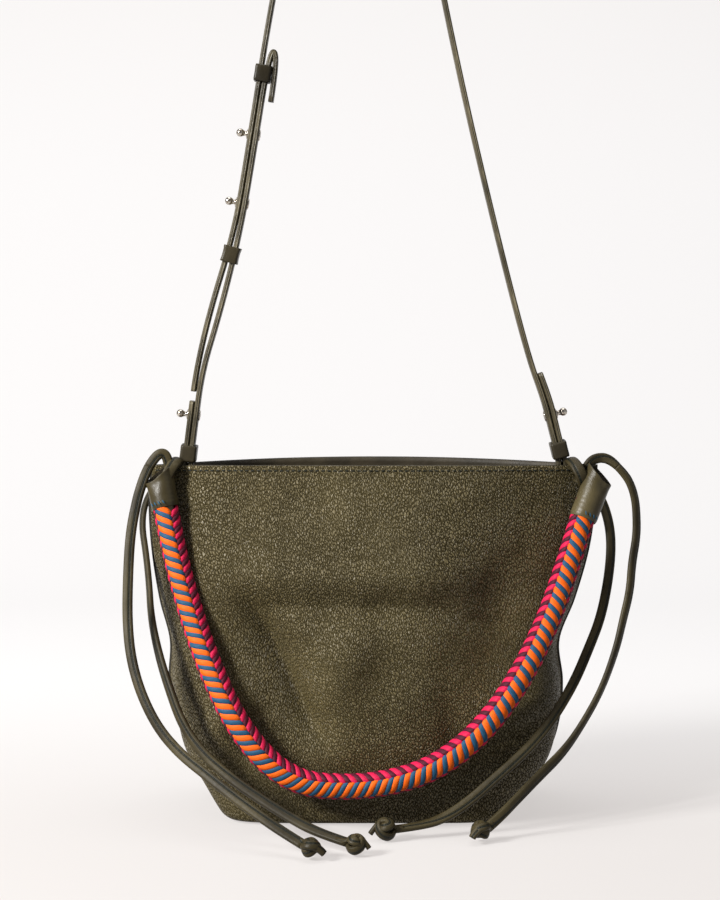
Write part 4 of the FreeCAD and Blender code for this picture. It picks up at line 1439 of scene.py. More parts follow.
def between(table: Sequence[tuple[float, float]], place: float) -> float:
    """Return the value at a place in a table, straight between its rows.

    Args:
        table: Rows of a place and its value.
        place: The place.

    Returns:
        The value there.
    """
    for (low, first), (high, last) in zip(table, table[1:]):
        if place <= high:
            return first + (last - first) * max(0.0, place - low) / (high - low)
    return table[-1][1]


@dataclass
class RopeHandle:
    """The hanging handle: a rope core under a braid of four cords, and a leather sleeve at each end."""

    wardrobe: Wardrobe
    pitch: float = 0.0090
    first_edge: tuple[float, float] = (-28.0, -38.0)
    dome: float = 0.0013
    braid_radius: float = 0.0098
    braid_ends: float = 0.016
    braid_start: float = 0.011
    braid_jitter: float = 0.0003
    braid_tuck: float = 0.0026
    sleeve_radius: float = 0.0110
    sleeve_leather: float = 0.0010
    sleeve_bead: float = 0.0006
    sleeve_flare: float = 0.0006
    sleeve_dent: float = 0.0019
    sleeve_wrinkle: float = 0.00013
    mouth_rise: float = -0.0050
    sleeve_steps: int = 44
    sleeve_turns: int = 40
    thread_count: int = 4

    def build(self) -> None:
        """Make the core, the braid and the sleeves."""
        line = resample(read_line(HANDLE_ROUTE, 14), 420)
        self.line, self.heading = line, directions(line)
        self.total = lengths_along(line)[-1]
        LOG.info("handle line %.4f m", self.total)
        core = self.core(line)
        covers = [self.strand(strand, self.wardrobe.pick(look)) for look, strand in STRANDS.items()]
        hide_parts("braid_cover")
        for side in Side:
            self.sleeve(side)

    def core(self, line: Sequence[Vector]) -> bpy.types.Object:
        """Make the rope inside the braid.

        Args:
            line: The handle's line.

        Returns:
            The core.
        """
        bm = bmesh.new()
        angles = [math.tau * step / 16 for step in range(16)]
        profile = [(CORE_RADIUS * math.cos(angle), CORE_RADIUS * math.sin(angle)) for angle in angles]
        sweep(bm, line[::2], profile, lambda share, direction: Vector((0, -1, 0.2)))
        looks = self.wardrobe.pick("rope")
        return as_piece("handle_rope", bm, looks, "handle", ["handle_core"])

    def on_tube(self, mark: float, degrees: float, radius: float) -> Vector:
        """Return a point of the braid's surface.

        Args:
            mark: Distance along the handle.
            degrees: Angle round it, from the front.
            radius: Distance from its middle.

        Returns:
            The point.
        """
        place = max(0.0, min(1.0, mark / self.total)) * (len(self.line) - 1)
        index = min(int(place), len(self.line) - 2)
        share = place - index
        middle = self.line[index].lerp(self.line[index + 1], share)
        direction = self.heading[index].lerp(self.heading[index + 1], share).normalized()
        front = square_to(direction, Vector((0, -1, 0)))
        outer = direction.cross(front)
        angle = math.radians(degrees)
        return middle + front * (radius * math.cos(angle)) + outer * (radius * math.sin(angle))

    def strand(self, strand: Strand, looks: Sequence[bpy.types.Material]) -> bpy.types.Object:
        """Make all the visible turns of one colour.

        Args:
            strand: Its place in the braid.
            looks: Its material, in a list.

        Returns:
            The piece.
        """
        bm = bmesh.new()
        bm.loops.layers.uv.verify()
        chance = random.Random(len(strand.name))
        turns = int((self.total - self.braid_ends) / self.pitch)
        for column in strand.columns:
            way = -1 if column % 2 == 0 else 1
            for turn in range(turns):
                share = turn / turns
                first, last = self.first_edge
                left = first + (last - first) * share + 90 * column
                jitter = chance.uniform(-self.braid_jitter, self.braid_jitter)
                step = turn + strand.start + strand.width / 2 + 0.25 * (column % 2)
                middle = self.braid_start + step * self.pitch + jitter
                slope = way * between(BRAID_SLOPES, share)
                self.patch(bm, left, slope, middle, strand.width * self.pitch / 2, chance.uniform(0.9, 1.12))
        return as_piece(strand.name, bm, looks, "handle")

    def patch(
        self,
        bm: bmesh.types.BMesh,
        left: float,
        slope: float,
        middle: float,
        half: float,
        full: float,
    ) -> None:
        """Add one visible turn of a cord, a pillow that dives under its neighbours at both ends.

        Args:
            bm: The mesh to add to.
            left: Angle of the column's first edge.
            slope: How far the turn runs along the handle while it crosses its column.
            middle: Distance along the handle of the turn's middle.
            half: Half of the turn's width.
            full: How full the cord is.
        """
        layer = bm.loops.layers.uv.verify()
        grid = bmesh.ops.create_grid(bm, x_segments=8, y_segments=5, size=1.0)["verts"]
        for vert in grid:
            round_share, width_share = vert.co.x, vert.co.y
            degrees = left + 45 + 56 * round_share
            tuck = max(0.0, abs(round_share) - 0.62) / 0.38
            crown = math.sqrt(max(0.0, 1 - 0.8 * abs(width_share) ** 3.2))
            rise = self.dome * full * (1.25 * crown - 0.25) - self.braid_tuck * tuck**2
            radius = self.braid_radius - self.dome + rise
            narrow = 1.0 - 0.18 * abs(round_share) ** 3
            mark = middle + slope * 0.62 * round_share + half * width_share * narrow * 1.04
            vert.co = self.on_tube(mark, degrees, radius)
            for loop in vert.link_loops:
                loop[layer].uv = (6 * round_share, 3 * width_share)
        for face in {face for vert in grid for face in vert.link_faces}:
            face.smooth = True

    def sleeve(self, side: Side) -> None:
        """Make one leather sleeve, with its slanted mouth and wrinkles.

        Args:
            side: Left or right.
        """
        name, end = side.name.lower(), SLEEVE_ENDS[side]
        eye = Vector(SLEEVE_EYES[side])
        down = (Vector(SLEEVE_LOWS[side]) - eye).normalized()
        across = square_to(down, Vector((side.value, 0, 0)))
        front = square_to(down, Vector((0, -1, 0)))
        front = (front - across * front.dot(across)).normalized()
        rows = []
        for step in range(self.sleeve_steps + 1):
            ring = []
            for turn in range(self.sleeve_turns):
                angle = math.tau * turn / self.sleeve_turns
                mark, radius = self.sleeve_at(step / self.sleeve_steps, angle, end)
                out = across * math.cos(angle) + front * math.sin(angle)
                ring.append(eye + down * mark + out * radius)
            rows.append(ring)
        bm = bmesh.new()
        marks = [44.0 * step / self.sleeve_steps for step in range(self.sleeve_steps + 1)]
        skin(bm, rows, marks, [2.0 * turn for turn in range(self.sleeve_turns + 1)], True)
        looks = self.wardrobe.pick("sleeve", "inside", "edge")
        piece = as_piece("sleeve_" + name, bm, looks, "handle", ["handle_sleeve_" + name])
        # an open tube's normals may have come out inwards
        centre = sum((vertex.co for vertex in piece.data.vertices), Vector()) / len(piece.data.vertices)
        if sum((face.center - centre).dot(face.normal) for face in piece.data.polygons) < 0:
            piece.data.flip_normals()
        thicken(piece, self.sleeve_leather, 1, 2)
        soften(piece)
        self.tie_threads(name, eye + down * (end - 0.0035), down, across, front)

    def sleeve_at(self, share: float, angle: float, end: float) -> tuple[float, float]:
        """Return how far down a sleeve a place is, and its radius there.

        Args:
            share: Share of the way from the slanted mouth to the end.
            angle: Angle round the sleeve, from its outer side to the front.
            end: How far below its eye the sleeve ends.

        Returns:
            The distance below the eye, and the radius with its dent, wrinkles, bead and flare.
        """
        mouth = self.mouth_rise + MOUTH_OUTER * math.cos(angle) + MOUTH_FRONT * math.sin(angle)
        mark = mouth + (end - mouth) * share
        seen = 0.5 - 0.5 * math.cos(angle - math.radians(20))
        wrinkle = self.sleeve_wrinkle * math.sin(1700 * mark + 2.4 * math.sin(2 * angle + 40 * mark))
        wrinkle *= seen * min(1.0, 5 * share) * (0.6 + 0.4 * math.sin(230 * mark + angle))
        dent = self.sleeve_dent * math.exp(-(((mark - 0.002) / 0.006) ** 2) - ((angle - 1.1) / 0.5) ** 2)
        bead = self.sleeve_bead * math.exp(-(((mark - end) / 0.0016) ** 2))
        flare = self.sleeve_flare * math.exp(-(((mark - mouth) / 0.003) ** 2))
        return mark, self.sleeve_radius - dent + wrinkle + flare - bead

    def tie_threads(self, name: str, place: Vector, down: Vector, across: Vector, front: Vector) -> None:
        """Make the few thread stitches that hold a sleeve on the braid.

        Args:
            name: Left or right.
            place: The middle of the sleeve where they are.
            down: Direction of the sleeve.
            across: Direction away from the bag's middle.
            front: Direction to the front.
        """
        bm = bmesh.new()
        for index in range(self.thread_count):
            angle = math.radians(38 + 17 * index)
            out = across * math.cos(angle) + front * math.sin(angle)
            along = (down + out.cross(down) * 0.5).normalized()
            add_stitch(bm, place + out * 0.0121, along, out, (0.0017, 0.0004, 0.00045))
        looks = self.wardrobe.pick("blue_thread")
        as_piece("sleeve_stitches_" + name, bm, looks, "handle")


# ---------------------------------------------------------------- laces

# the way that each lace's broad side faces while it hangs
LACE_FACINGS = {
    "outer_right": (0.85, -0.52, 0.0),
    "inner_right": (0.12, -1.0, 0.0),
    "outer_left": (-0.2, -0.98, 0.0),
    "inner_left": (-0.75, -0.66, 0.0),
}
# from where each lace leaves its corner, down to its knot on the floor
LACE_ROUTES = {
    "outer_right": (
        (190, -16, 272), (196, -17, 266), (201, -18, 257), (204, -19, 246), (205, -20, 234), (205, -22, 218),
        (201, -26, 197), (199, -32, 176), (193, -39, 155), (187, -47, 133), (174, -61, 103), (157, -73, 77),
        (143, -82, 60), (125, -92, 45), (108, -101, 30), (94, -107, 17), (84, -113, 10),
    ),
    "inner_right": (
        (158, 14.8, 262), (158, 21.3, 262), (164, 28, 260), (176, 28, 252), (184, 21, 238), (188, 11, 221),
        (188, 1, 203), (184, -13, 180), (177, -25, 153), (166, -37, 130), (155, -50, 109), (141, -64, 89),
        (126, -77, 72), (108, -87, 56), (88, -93, 40), (70, -97, 25), (52, -101, 14), (34, -105, 9),
        (14, -110, 8),
    ),
    "outer_left": (
        (-176, -16, 272), (-179, -18, 266), (-182, -21, 257), (-185, -25, 246), (-189.5, -33, 221),
        (-190.5, -44, 187), (-190, -55, 155), (-186, -67, 128), (-177, -79, 103), (-163, -92, 80),
        (-145, -104, 63), (-124, -117, 50), (-103, -131, 37), (-84, -142, 26), (-67, -152, 17),
        (-52, -160, 10),
    ),
    "inner_left": (
        (-158, 14.8, 262), (-158, 21.3, 262), (-164, 28, 260), (-176, 28, 252), (-184, 21, 238),
        (-185, 11, 221), (-181, 0, 203), (-177, -15, 180), (-174, -33, 156), (-167, -50, 131),
        (-158, -66, 108), (-146, -80, 80), (-129, -92, 60), (-108, -104, 45), (-86, -116, 33),
        (-64, -127, 22), (-42, -139, 13), (-20, -150, 9),
    ),
}
LACE_WIDTH = 0.0078
# the ties at a corner, as on the right: through rim and sleeve, out to the outer lace, and over the sleeve
TIE_THROUGH = (
    (158, 15, 262), (158, 0, 262), (158, -15, 261), (163, -18, 259), (172, -19, 258), (180, -19, 258),
)
TIE_OVER = (
    (152, 11, 262), (152, 11, 269), (153, 4, 275), (154.5, -8, 276), (156.5, -18, 274.5),
    (159.5, -22.5, 269.5), (162.5, -23, 263), (164, -19.5, 258.5),
)
TIE_ARCHES = {
    Side.RIGHT: (
        (160, -4, 262), (161, -11, 263), (164, -14.5, 266), (166.5, -15, 272), (171, -15, 277.5),
        (179, -14.5, 279), (186, -15, 276), (190, -16, 272),
    ),
    Side.LEFT: (
        (158, 4, 262), (158.5, -8, 262), (160, -13.5, 265), (161, -14.5, 274), (163, -14.5, 281),
        (167, -14.5, 282.5), (172, -15, 278.5), (176, -16, 272),
    ),
}

# one overhand knot seen from above, in knot radii: in from the lace, round itself once and out to the tip
KNOT_TURNS = (
    (-1.00, 0.00, 0.10),
    (-0.55, -0.55, 0.45),
    (0.25, -0.85, 0.55),
    (0.85, -0.30, 0.45),
    (0.65, 0.60, 0.10),
    (-0.10, 0.90, -0.25),
    (-0.75, 0.40, -0.35),
    (-0.60, -0.45, -0.40),
    (0.10, -0.55, -0.35),
    (0.55, -0.10, 0.20),
    (0.20, 0.55, 0.70),
    (-0.45, 0.30, 0.75),
    (-0.25, -0.45, 0.80),
    (0.55, -0.55, 0.50),
    (1.10, -0.10, 0.05),
    (1.45, 0.10, -0.40),
)


@dataclass(frozen=True)
class KnotLie:
    """How one knot lies: its turn about the vertical, size, hand (1 or -1) and roll about the lace."""

    degrees: float
    size: float
    mirror: int = 1
    roll: float = 0.0


KNOT_LIES = {
    "outer_left": KnotLie(0, 1.0),
    "inner_left": KnotLie(25, 0.95, -1, 20),
    "inner_right": KnotLie(-10, 1.1, 1, -25),
    "outer_right": KnotLie(20, 1.0, -1, 10),
}


@dataclass
class Laces:
    """The four lace tails with their knots, and the ties that hold the handle to the corners."""

    wardrobe: Wardrobe
    crown: float = 0.0004
    thick: float = 0.0036
    knot_radius: float = 0.0085
    knot_tight: float = 0.85
    tie_widths: tuple[float, float, float] = (0.0056, LACE_WIDTH, 0.0092)

    def build(self) -> None:
        """Make every lace."""
        for name, route in LACE_ROUTES.items():
            self.tail(name, metres(route))
        for side in Side:
            self.tie(side)

    def tail(self, name: str, route: Sequence[Vector]) -> None:
        """Make one free lace and its knot.

        Args:
            name: Inner or outer, left or right.
            route: Control points of its line.
        """
        line = read_line(route, 10)
        turn = random.Random(name).uniform(-0.3, 0.3)

        def across_at(share: float, direction: Vector) -> Vector:
            """Let the broad side face outwards while it hangs and upwards once it lies down.

            Args:
                share: Share of the way along the lace.
                direction: The lace's direction there.

            Returns:
                The direction across the lace.
            """
            lying = 1 - min(1.0, abs(direction.z) * 1.2)
            out = Vector(LACE_FACINGS[name]).lerp(Vector((0, 0, 1)), lying)
            twisted = Matrix.Rotation(turn * math.sin(7 * share), 3, direction) @ out
            return direction.cross(twisted)

        bm = bmesh.new()
        sweep(bm, line, band_profile(LACE_WIDTH, self.thick, self.crown), across_at)
        looks = self.wardrobe.pick("lace")
        piece = as_piece("lace_" + name, bm, looks, "bag", ["lace_tail_" + name])
        knot = self.knot(name, line)

    def knot(self, name: str, line: Sequence[Vector]) -> bpy.types.Object:
        """Make the overhand knot at a lace's end.

        Args:
            name: The lace.
            line: The lace's line, whose last point the knot begins at.

        Returns:
            The knot.
        """
        lie = KNOT_LIES[name]
        way = (line[-1] - line[-2]).normalized()
        flat = Vector((way.x, way.y, 0)).normalized()
        middle = line[-1] + flat * self.knot_radius * 0.72
        middle.z = self.knot_radius * 0.98
        side = Vector((-flat.y, flat.x, 0))
        spin = Matrix.Rotation(math.radians(lie.degrees), 3, "Z")
        turned = spin @ Matrix.Rotation(math.radians(lie.roll), 3, flat)
        size = self.knot_tight * self.knot_radius * lie.size
        route = [line[-3], line[-1]]
        for x, y, z in KNOT_TURNS[1:]:
            place = flat * (x * size) + side * (y * size * lie.mirror)
            place.z = z * size
            lifted = middle + turned @ place
            lifted.z = max(lifted.z, self.thick * 0.55)
            route.append(lifted)
        turns = read_line(route, 7)

        def across_at(share: float, direction: Vector) -> Vector:
            """Let the broad side face away from the knot's middle."""
            place = turns[min(len(turns) - 1, int(share * len(turns)))]
            return direction.cross((place - middle).normalized() + Vector((0, 0, 0.15)))

        bm = bmesh.new()
        profile = band_profile(LACE_WIDTH * 0.92, self.thick * 0.86, self.crown)
        sweep(bm, turns, profile, across_at, lambda share: (1.0 - 0.25 * max(0.0, share - 0.8) / 0.2, 1.0))
        looks = self.wardrobe.pick("lace")
        return as_piece("knot_" + name, bm, looks, "bag", ["lace_knot_" + name])

    def tie(self, side: Side) -> None:
        """Make the lace through a corner of the bag and the sleeve's eye, with the strands over it.

        Args:
            side: Left or right.
        """
        name, sign = side.name.lower(), side.value
        up = Vector((0.3 * sign, -0.35, 1.0))
        forward, loose = Vector((0.1 * sign, -1.0, 0.3)), Vector(LACE_FACINGS["outer_" + name])
        facings = (
            facing_along(up, up),
            facing_along(forward, loose),
            lambda share, direction: Vector((1, 0, 0.35 * sign)),
        )
        bm = bmesh.new()
        ways = TIE_THROUGH, TIE_ARCHES[side], TIE_OVER
        for points, width, across_at in zip(ways, self.tie_widths, facings):
            route = metres([(sign * x, y, z) for x, y, z in points])
            sweep(bm, read_line(route, 12), band_profile(width, self.thick, self.crown), across_at)
        looks = self.wardrobe.pick("lace")
        as_piece("lace_tie_" + name, bm, looks, "bag", ["lace_loop_" + name])


# ---------------------------------------------------------------- crossbody strap

# foot to top on each side, along X and Z
STRAP_LINES = {
    Side.RIGHT: (
        (146, 284), (135.7, 323.8), (123.2, 357.4), (97.3, 455.4), (65, 590), (30.3, 761.4), (6, 896),
    ),
    Side.LEFT: (
        (-146, 284), (-137.9, 345.2), (-107.1, 455.4), (-96.9, 513.5), (-77.5, 632.8), (-47.8, 773.6),
        (-22, 896),
    ),
}
# half width, half height and corner radius of a keeper's inner and outer shell
KEEPER_SHELLS = ((0.00462, 0.00785, 0.0006), (0.0064, 0.0097, 0.0022))
# radius and height of the outlines that are turned into a stud's foot and a screw
STUD_FOOT = (
    (0.0, 0.0), (0.0042, 0.0), (0.0042, 0.0004), (0.0037, 0.0009), (0.0026, 0.0012), (0.0018, 0.0018),
)
SCREW_OUTLINE = (
    (0.0, -0.0088), (0.0016, -0.0088), (0.0016, 0.0), (0.0043, 0.0), (0.0044, 0.0003),
    (0.0041, 0.0008), (0.0030, 0.00112), (0.0018, 0.0012), (0.0014, 0.0008), (0.0, 0.0008),
)


@dataclass
class CrossbodyStrap:
    """The long strap over the top, the short strap that it is studded to, and the keepers and studs."""

    wardrobe: Wardrobe
    weld: float = 1e-6
    wide: float = 0.015
    thick: float = 0.0039
    layer_step: float = 2.25
    crown: float = 0.0002
    bow_height: float = 392.0
    fold_height: float = 261.7
    bend_height: float = 267.8
    knee_height: float = 275.0
    ring_spread: float = 3.3
    top_height: float = 896.0
    fold_top: float = 594.0
    keeper_long: float = 0.0128
    keeper_steps: int = 8
    keeper_corner_steps: int = 4
    stud_reach: float = 0.00427
    ball_radius: float = 0.00325
    ball_height: float = 0.0028 + ball_radius
    ball_steps: int = 12
    tab_heights: tuple[float, float, float] = (229.8, 205.0, 186.0)

    def build(self) -> None:
        """Make every piece of the strap."""
        self.long_strap()
        self.short_strap()
        for name, side, height, body in (
            ("end_keeper_right", Side.RIGHT, 283.8, "bag"),
            ("end_keeper_left", Side.LEFT, 281.0, "bag"),
            ("middle_keeper", Side.LEFT, 437.0, "keeper_middle"),
            ("top_keeper", Side.LEFT, 577.0, "keeper_top"),
        ):
            self.keeper(name, side, height, body)
        for name, side, height in (
            ("end", Side.RIGHT, 311.0),
            ("end", Side.LEFT, 311.0),
            ("low", Side.LEFT, 477.0),
            ("high", Side.LEFT, 530.0),
        ):
            self.stud(name, side, height)
        for side in Side:
            self.tab(side)

    def on_line(self, side: Side, height: float) -> tuple[Vector, Vector, Vector]:
        """Return a place on one side of the strap.

        Args:
            side: Left or right.
            height: Height above the floor in millimetres.

        Returns:
            The middle there, the direction across both layers towards +X, and the direction upwards.
        """
        points = STRAP_LINES[side]
        for low, high in zip(points, points[1:]):
            if height <= high[1]:
                break
        share = (height - low[1]) / (high[1] - low[1])
        along = Vector((high[0] - low[0], 0, high[1] - low[1])).normalized()
        middle = Vector((low[0] + share * (high[0] - low[0]), 1000 * STRAP_BACK, height)) / 1000
        return middle, Vector((along.z, 0, -along.x)), along

    def run(
        self, side: Side, low: float, high: float, shift: float, bow: float = 0.0
    ) -> list[tuple[float, float]]:
        """Return control points of a layer between two heights.

        Args:
            side: Left or right.
            low: Lower end in millimetres.
            high: Upper end.
            shift: How far the layer is from the middle line, towards +X.
            bow: How far its free length bows out, towards +X.

        Returns:
            Points along X and Z, upwards.
        """
        kept = [z for _, z in STRAP_LINES[side] if low + 1 < z < high - 1]
        kept = sorted([*kept, self.bow_height]) if bow else kept
        points = []
        for z in (low, *kept, high):
            middle, _, _ = self.on_line(side, z)
            points.append((1000 * middle.x + shift + (bow if z == self.bow_height else 0.0), z))
        return points

    def knee(self, side: Side) -> float:
        """Return X in millimetres of the place where the layers part towards their ring."""
        (foot_x, foot_z), (next_x, next_z) = STRAP_LINES[side][:2]
        return foot_x + (next_x - foot_x) / (next_z - foot_z) * (self.knee_height - foot_z)

    def root(self, side: Side) -> list[tuple[float, float]]:
        """Return the points where a strap goes down, round its ring and up again, from -X to +X.

        Args:
            side: Left or right.

        Returns:
            Points along X and Z.
        """
        knee = self.knee(side)
        down = [(-self.layer_step, self.knee_height)]
        down += [(-self.ring_spread, height) for height in (self.bend_height, self.fold_height)]
        rise = [(-x, z) for x, z in reversed(down)]
        return [(knee + x, z) for x, z in down + rise]

    def layer(self, name: str, points: Sequence[tuple[float, float]], nodes: Sequence[str]) -> None:
        """Make one continuous strap, which bends where it leaves its ring.

        Args:
            name: Its name.
            points: Control points along X and Z.
            nodes: The CAD nodes that it replaces.
        """
        route = metres([(x, 1000 * STRAP_BACK, z) for x, z in points])
        line = read_line(route, 16)
        bm = bmesh.new()
        profile = band_profile(self.wide, self.thick, self.crown)
        sweep(bm, line, profile, lambda share, direction: BESIDE, edge_material=1)
        piece = as_piece(name, bm, self.wardrobe.pick("strap", "strap_edge"), "", nodes)
        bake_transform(piece)

    def long_strap(self) -> None:
        """Make the strap from its left end over the top, round the right ring and up to its folded tail."""
        left = self.run(Side.LEFT, 330, self.top_height, -self.layer_step, -2.2)
        right = self.run(Side.RIGHT, 300, self.top_height, -self.layer_step)[::-1]
        first, *free, last = self.run(Side.RIGHT, 300, 344, self.layer_step)
        tail = [first, *[(x + 0.4, z) for x, z in free], last]
        nodes = ["long_strap", "long_strap_tail", "strap_root_right"]
        self.layer("crossbody_strap", left + right + self.root(Side.RIGHT) + tail, nodes)

    def short_strap(self) -> None:
        """Make the strap from its tail round the left ring, up beside the long one and over its keeper."""
        tail = self.run(Side.LEFT, 300, 322, -self.layer_step)[::-1]
        run = self.run(Side.LEFT, 300, self.fold_top, self.layer_step, 1.6)
        _, across, along = self.on_line(Side.LEFT, self.fold_top)
        top = Vector((run[-1][0], 0, run[-1][1]))
        over = top + across * 7.1
        end = over - along * 38
        points = tail + self.root(Side.LEFT) + run + [(over.x, over.z), (end.x, end.z)]
        self.layer("short_strap_fold", points, ["short_strap", "short_strap_tail", "strap_root_left"])

    def keeper(self, name: str, side: Side, height: float, body: str) -> None:
        """Make one leather loop round two strap layers.

        Args:
            name: Its name.
            side: Left or right.
            height: Height of its middle in millimetres.
            body: The body that it moves with.
        """
        middle, across, along = self.on_line(side, height)
        flare = 0.0009 if name == "middle_keeper" else 0.0003
        rows, marks = [], []
        # up along the inner shell and back down along the outer one, whose ends are slimmer
        for shell, slim in ((0, 0.0), (1, 0.0005)):
            wide, tall, corner = KEEPER_SHELLS[shell]
            order = range(self.keeper_steps + 1)
            for step in reversed(order) if shell else order:
                mark = self.keeper_long * (step / self.keeper_steps - 0.5)
                ends = abs(2 * step / self.keeper_steps - 1) ** 4
                grow = flare * ends - slim * ends**3
                ring = rounded_box(wide + grow, tall + grow, corner, self.keeper_corner_steps)
                rows.append([middle + across * x + BESIDE * y + along * mark for x, y in ring])
                marks.append(1000 * (mark + self.keeper_long / 2))
        rows.append(rows[0])
        marks.append(marks[0])
        bm = bmesh.new()
        skin(bm, rows, marks, [2.4 * column for column in range(len(rows[0]) + 1)], True)
        bmesh.ops.remove_doubles(bm, verts=bm.verts, dist=self.weld)
        as_piece(name + "_loop", bm, self.wardrobe.pick("keeper"), body, [name])

    def stud(self, name: str, side: Side, height: float) -> None:
        """Make one ball stud and the screw that holds it from the other side.

        Args:
            name: First word of its name.
            side: Left or right.
            height: Height of its middle in millimetres.
        """
        middle, across, _ = self.on_line(side, height)
        outward = across * side.value
        ball = list(STUD_FOOT)
        for step in range(1, self.ball_steps):
            angle = math.radians(-58 + step * 148 / self.ball_steps)
            out, up = self.ball_radius * math.cos(angle), self.ball_radius * math.sin(angle)
            ball.append((out, self.ball_height + up))
        ball.append((0.0, self.ball_height + self.ball_radius))
        for label, profile, way in (("stud", ball, outward), ("screw", SCREW_OUTLINE, -outward)):
            self.turned(f"{name}_{label}_{side.name.lower()}", profile, middle + way * self.stud_reach, way)

    def turned(self, name: str, profile: Sequence[tuple[float, float]], place: Vector, way: Vector) -> None:
        """Make one small turned metal piece.

        Args:
            name: The piece and the CAD node that it replaces.
            profile: Radius and height of its outline.
            place: Where its foot is.
            way: Direction of its axis.
        """
        bm = bmesh.new()
        verts = [bm.verts.new((radius, 0, height)) for radius, height in profile]
        edges = [bm.edges.new(pair) for pair in zip(verts, verts[1:])]
        up = Vector((0, 0, 1))
        outline = verts + edges
        bmesh.ops.spin(bm, geom=outline, cent=Vector(), axis=up, angle=math.tau, steps=28, use_merge=True)
        bmesh.ops.remove_doubles(bm, verts=bm.verts, dist=self.weld)
        turn = up.rotation_difference(way).to_matrix().to_4x4()
        bmesh.ops.transform(bm, matrix=Matrix.Translation(place) @ turn, verts=bm.verts)
        for face in bm.faces:
            face.smooth = True
        as_piece(name + "_metal", bm, self.wardrobe.pick("nickel"), "strap", [name])

    def tab(self, side: Side) -> None:
        """Make the leather tab that ties a ring to the side seam inside the bag.

        Args:
            side: Left or right.
        """
        name, knee = side.name.lower(), self.knee(side)
        shape = BodyShape()
        points = [(knee, 258.0), (knee, 250.5)]
        for height in self.tab_heights:
            edge = side.value * 1000 * (shape.reach(side, height / 1000) - LEATHER - 0.0032)
            pull = 0.5 if height == self.tab_heights[0] else 1.0
            points.append((knee + pull * (edge - knee), height))
        bm = bmesh.new()
        route = metres([(x, 1000 * STRAP_BACK, z) for x, z in points])
        profile = band_profile(0.0098, 0.0046, self.crown)
        sweep(bm, read_line(route, 12), profile, lambda share, direction: BESIDE, edge_material=1)
        looks = self.wardrobe.pick("strap", "strap_edge")
        as_piece("ring_tab_" + name, bm, looks, "bag", ["anchor_tab_" + name])


# ---------------------------------------------------------------- stage, lights and camera


@dataclass(frozen=True)
class Lamp:
    """One soft rectangular light: its name, place, size, power in watts, colour and aim."""

    name: str
    place: Point
    size: tuple[float, float]
    power: float
    colour: Colour
    aim: Point


LAMPS = (
    Lamp("key", (-1.75, -1.15, 1.35), (0.55, 0.55), 104.0, (1.0, 0.99, 0.975), (0.0, 0.0, 0.15)),
    Lamp("fill", (1.9, -1.4, 1.2), (1.6, 1.6), 4.0, (0.97, 0.98, 1.0), (0.0, 0.0, 0.2)),
    Lamp("top", (0.0, 0.1, 2.2), (1.6, 1.2), 22.0, (1.0, 1.0, 1.0), (0.0, 0.0, 0.0)),
)


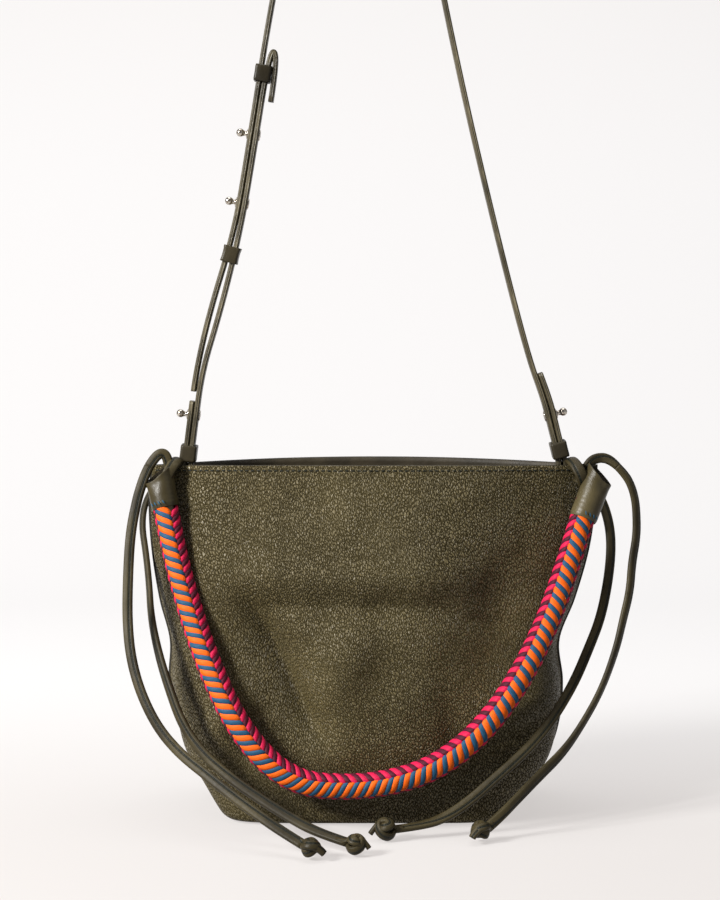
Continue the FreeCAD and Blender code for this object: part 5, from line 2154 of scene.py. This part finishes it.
@dataclass(frozen=True)
class Studio:
    """A seamless pale floor, soft light and the camera."""

    camera_place: Point = (-0.0112, -1.660, 0.4275)
    camera_tilt: float = 85.04
    lens: float = 84.47
    sensor: float = 36.0
    bend: float = 0.9
    bend_steps: int = 24
    floor_drop: float = 0.0004
    paper_glow: float = 0.76
    room_colour: tuple[float, float, float, float] = (1.0, 0.99, 0.99, 1.0)
    room_glow: float = 0.20

    def camera(self) -> None:
        """Add the camera."""
        data = bpy.data.cameras.new("camera")
        data.lens = self.lens
        data.sensor_fit = "VERTICAL"
        data.sensor_height = self.sensor
        data.clip_start = 0.05
        camera = bpy.data.objects.new("camera", data)
        camera.location = self.camera_place
        camera.rotation_euler = (math.radians(self.camera_tilt), 0, 0)
        bpy.context.collection.objects.link(camera)
        bpy.context.scene.camera = camera

    def floor(self) -> None:
        """Add the floor, which curves up into the backdrop."""
        bm = bmesh.new()
        sweep_angles = [math.pi / 2 * step / self.bend_steps for step in range(1, self.bend_steps + 1)]
        bend = [(1.0 + self.bend * math.sin(a), self.bend - self.bend * math.cos(a)) for a in sweep_angles]
        profile = [(-1.6, 0.0), (1.0, 0.0), *bend, (1.0 + self.bend, 3.2)]
        grid = [[bm.verts.new((x, y, z - self.floor_drop)) for x in (-2.6, 0.0, 2.6)] for y, z in profile]
        for low, high in zip(grid, grid[1:]):
            for column in range(2):
                bm.faces.new([low[column], low[column + 1], high[column + 1], high[column]]).smooth = True
        mesh = bpy.data.meshes.new("seamless_floor")
        bm.to_mesh(mesh)
        bm.free()
        mesh.materials.append(self.paper())
        floor = bpy.data.objects.new("seamless_floor", mesh)
        bpy.context.collection.objects.link(floor)

    def paper(self) -> bpy.types.Material:
        """Make the floor's paper, which looks pale to the camera and keeps the object's shadow.

        Returns:
            The material.
        """
        material = bpy.data.materials.new("seamless_paper")
        material.use_nodes = True
        nodes, graph = material.node_tree.nodes, Graph(material.node_tree)
        shader = nodes["Principled BSDF"]
        place = graph.add("TexCoord").outputs["Object"]
        tone = graph.mix(graph.noise(place, 3.0), srgb(240, 238, 236), srgb(243, 241, 239))
        path = graph.add("LightPath").outputs
        graph.feed(shader.inputs["Base Color"], graph.mix(path["Is Diffuse Ray"], tone, (0.20, 0.20, 0.19)))
        shader.inputs["Roughness"].default_value = 0.9
        shader.inputs["Specular IOR Level"].default_value = 0.1
        parts = graph.add("SeparateXYZ", {0: place}).outputs
        high = graph.spread(parts["Z"], 0.5, 1.6)
        far = graph.spread(parts["Y"], -0.2, 0.6)
        # painted shade: the paper's glow for the camera is darker near the front and towards the top, as the
        # light falls off
        glow = graph.mix(far, srgb(224, 218, 215), graph.mix(high, srgb(252, 250, 250), srgb(243, 238, 236)))
        glowing = graph.add("Emission", {"Color": glow, "Strength": 1.0}).outputs[0]
        mirrored = graph.calc("MAXIMUM", path["Is Glossy Ray"], path["Is Transmission Ray"])
        seen = graph.calc("MAXIMUM", path["Is Camera Ray"], mirrored)
        layers = {0: graph.times(seen, self.paper_glow), 1: shader.outputs[0], 2: glowing}
        blend = graph.add("MixShader", layers).outputs[0]
        # seen from behind, the sheet lets the object show through
        behind = graph.add("NewGeometry").outputs["Backfacing"]
        sheet = graph.add("MixShader", {0: behind, 1: blend, 2: graph.add("BsdfTransparent").outputs[0]})
        graph.feed(nodes["Material Output"].inputs["Surface"], sheet.outputs[0])
        return material

    def lamp(self, lamp: Lamp) -> None:
        """Add one soft light.

        Args:
            lamp: Its place, size, power and aim.
        """
        data = bpy.data.lights.new(lamp.name, "AREA")
        data.shape = "RECTANGLE"
        data.size, data.size_y = lamp.size
        data.energy = lamp.power
        data.color = lamp.colour
        light = bpy.data.objects.new(lamp.name, data)
        light.location = lamp.place
        light.rotation_euler = (Vector(lamp.aim) - light.location).to_track_quat("-Z", "Y").to_euler()
        bpy.context.collection.objects.link(light)

    def light(self) -> None:
        """Add the lamps, the pale surroundings and the plain view transform."""
        for lamp in LAMPS:
            self.lamp(lamp)
        world = bpy.data.worlds.new("pale_room")
        world.use_nodes = True
        back = world.node_tree.nodes["Background"]
        back.inputs["Color"].default_value = self.room_colour
        back.inputs["Strength"].default_value = self.room_glow
        scene = bpy.context.scene
        scene.world = world
        scene.view_settings.view_transform = "Standard"
        scene.view_settings.look = "None"


def dress_metal(wardrobe: Wardrobe) -> None:
    """Give the rings that stay as built their finish.

    Args:
        wardrobe: The materials.
    """
    for side in Side:
        ring = bpy.data.objects["anchor_ring_" + side.name.lower()]
        ring.data.materials.clear()
        ring.data.materials.append(*wardrobe.pick("nickel"))


def main() -> None:
    """Build the whole bag."""
    logging.basicConfig(level=logging.INFO, format="%(message)s")
    studio = Studio()
    studio.camera()
    wardrobe = Wardrobe()
    Laces(wardrobe).build()
    RopeHandle(wardrobe).build()
    BagBody(wardrobe).build()
    CrossbodyStrap(wardrobe).build()
    dress_metal(wardrobe)
    studio.floor()
    studio.light()


if __name__ == "__main__":
    main()
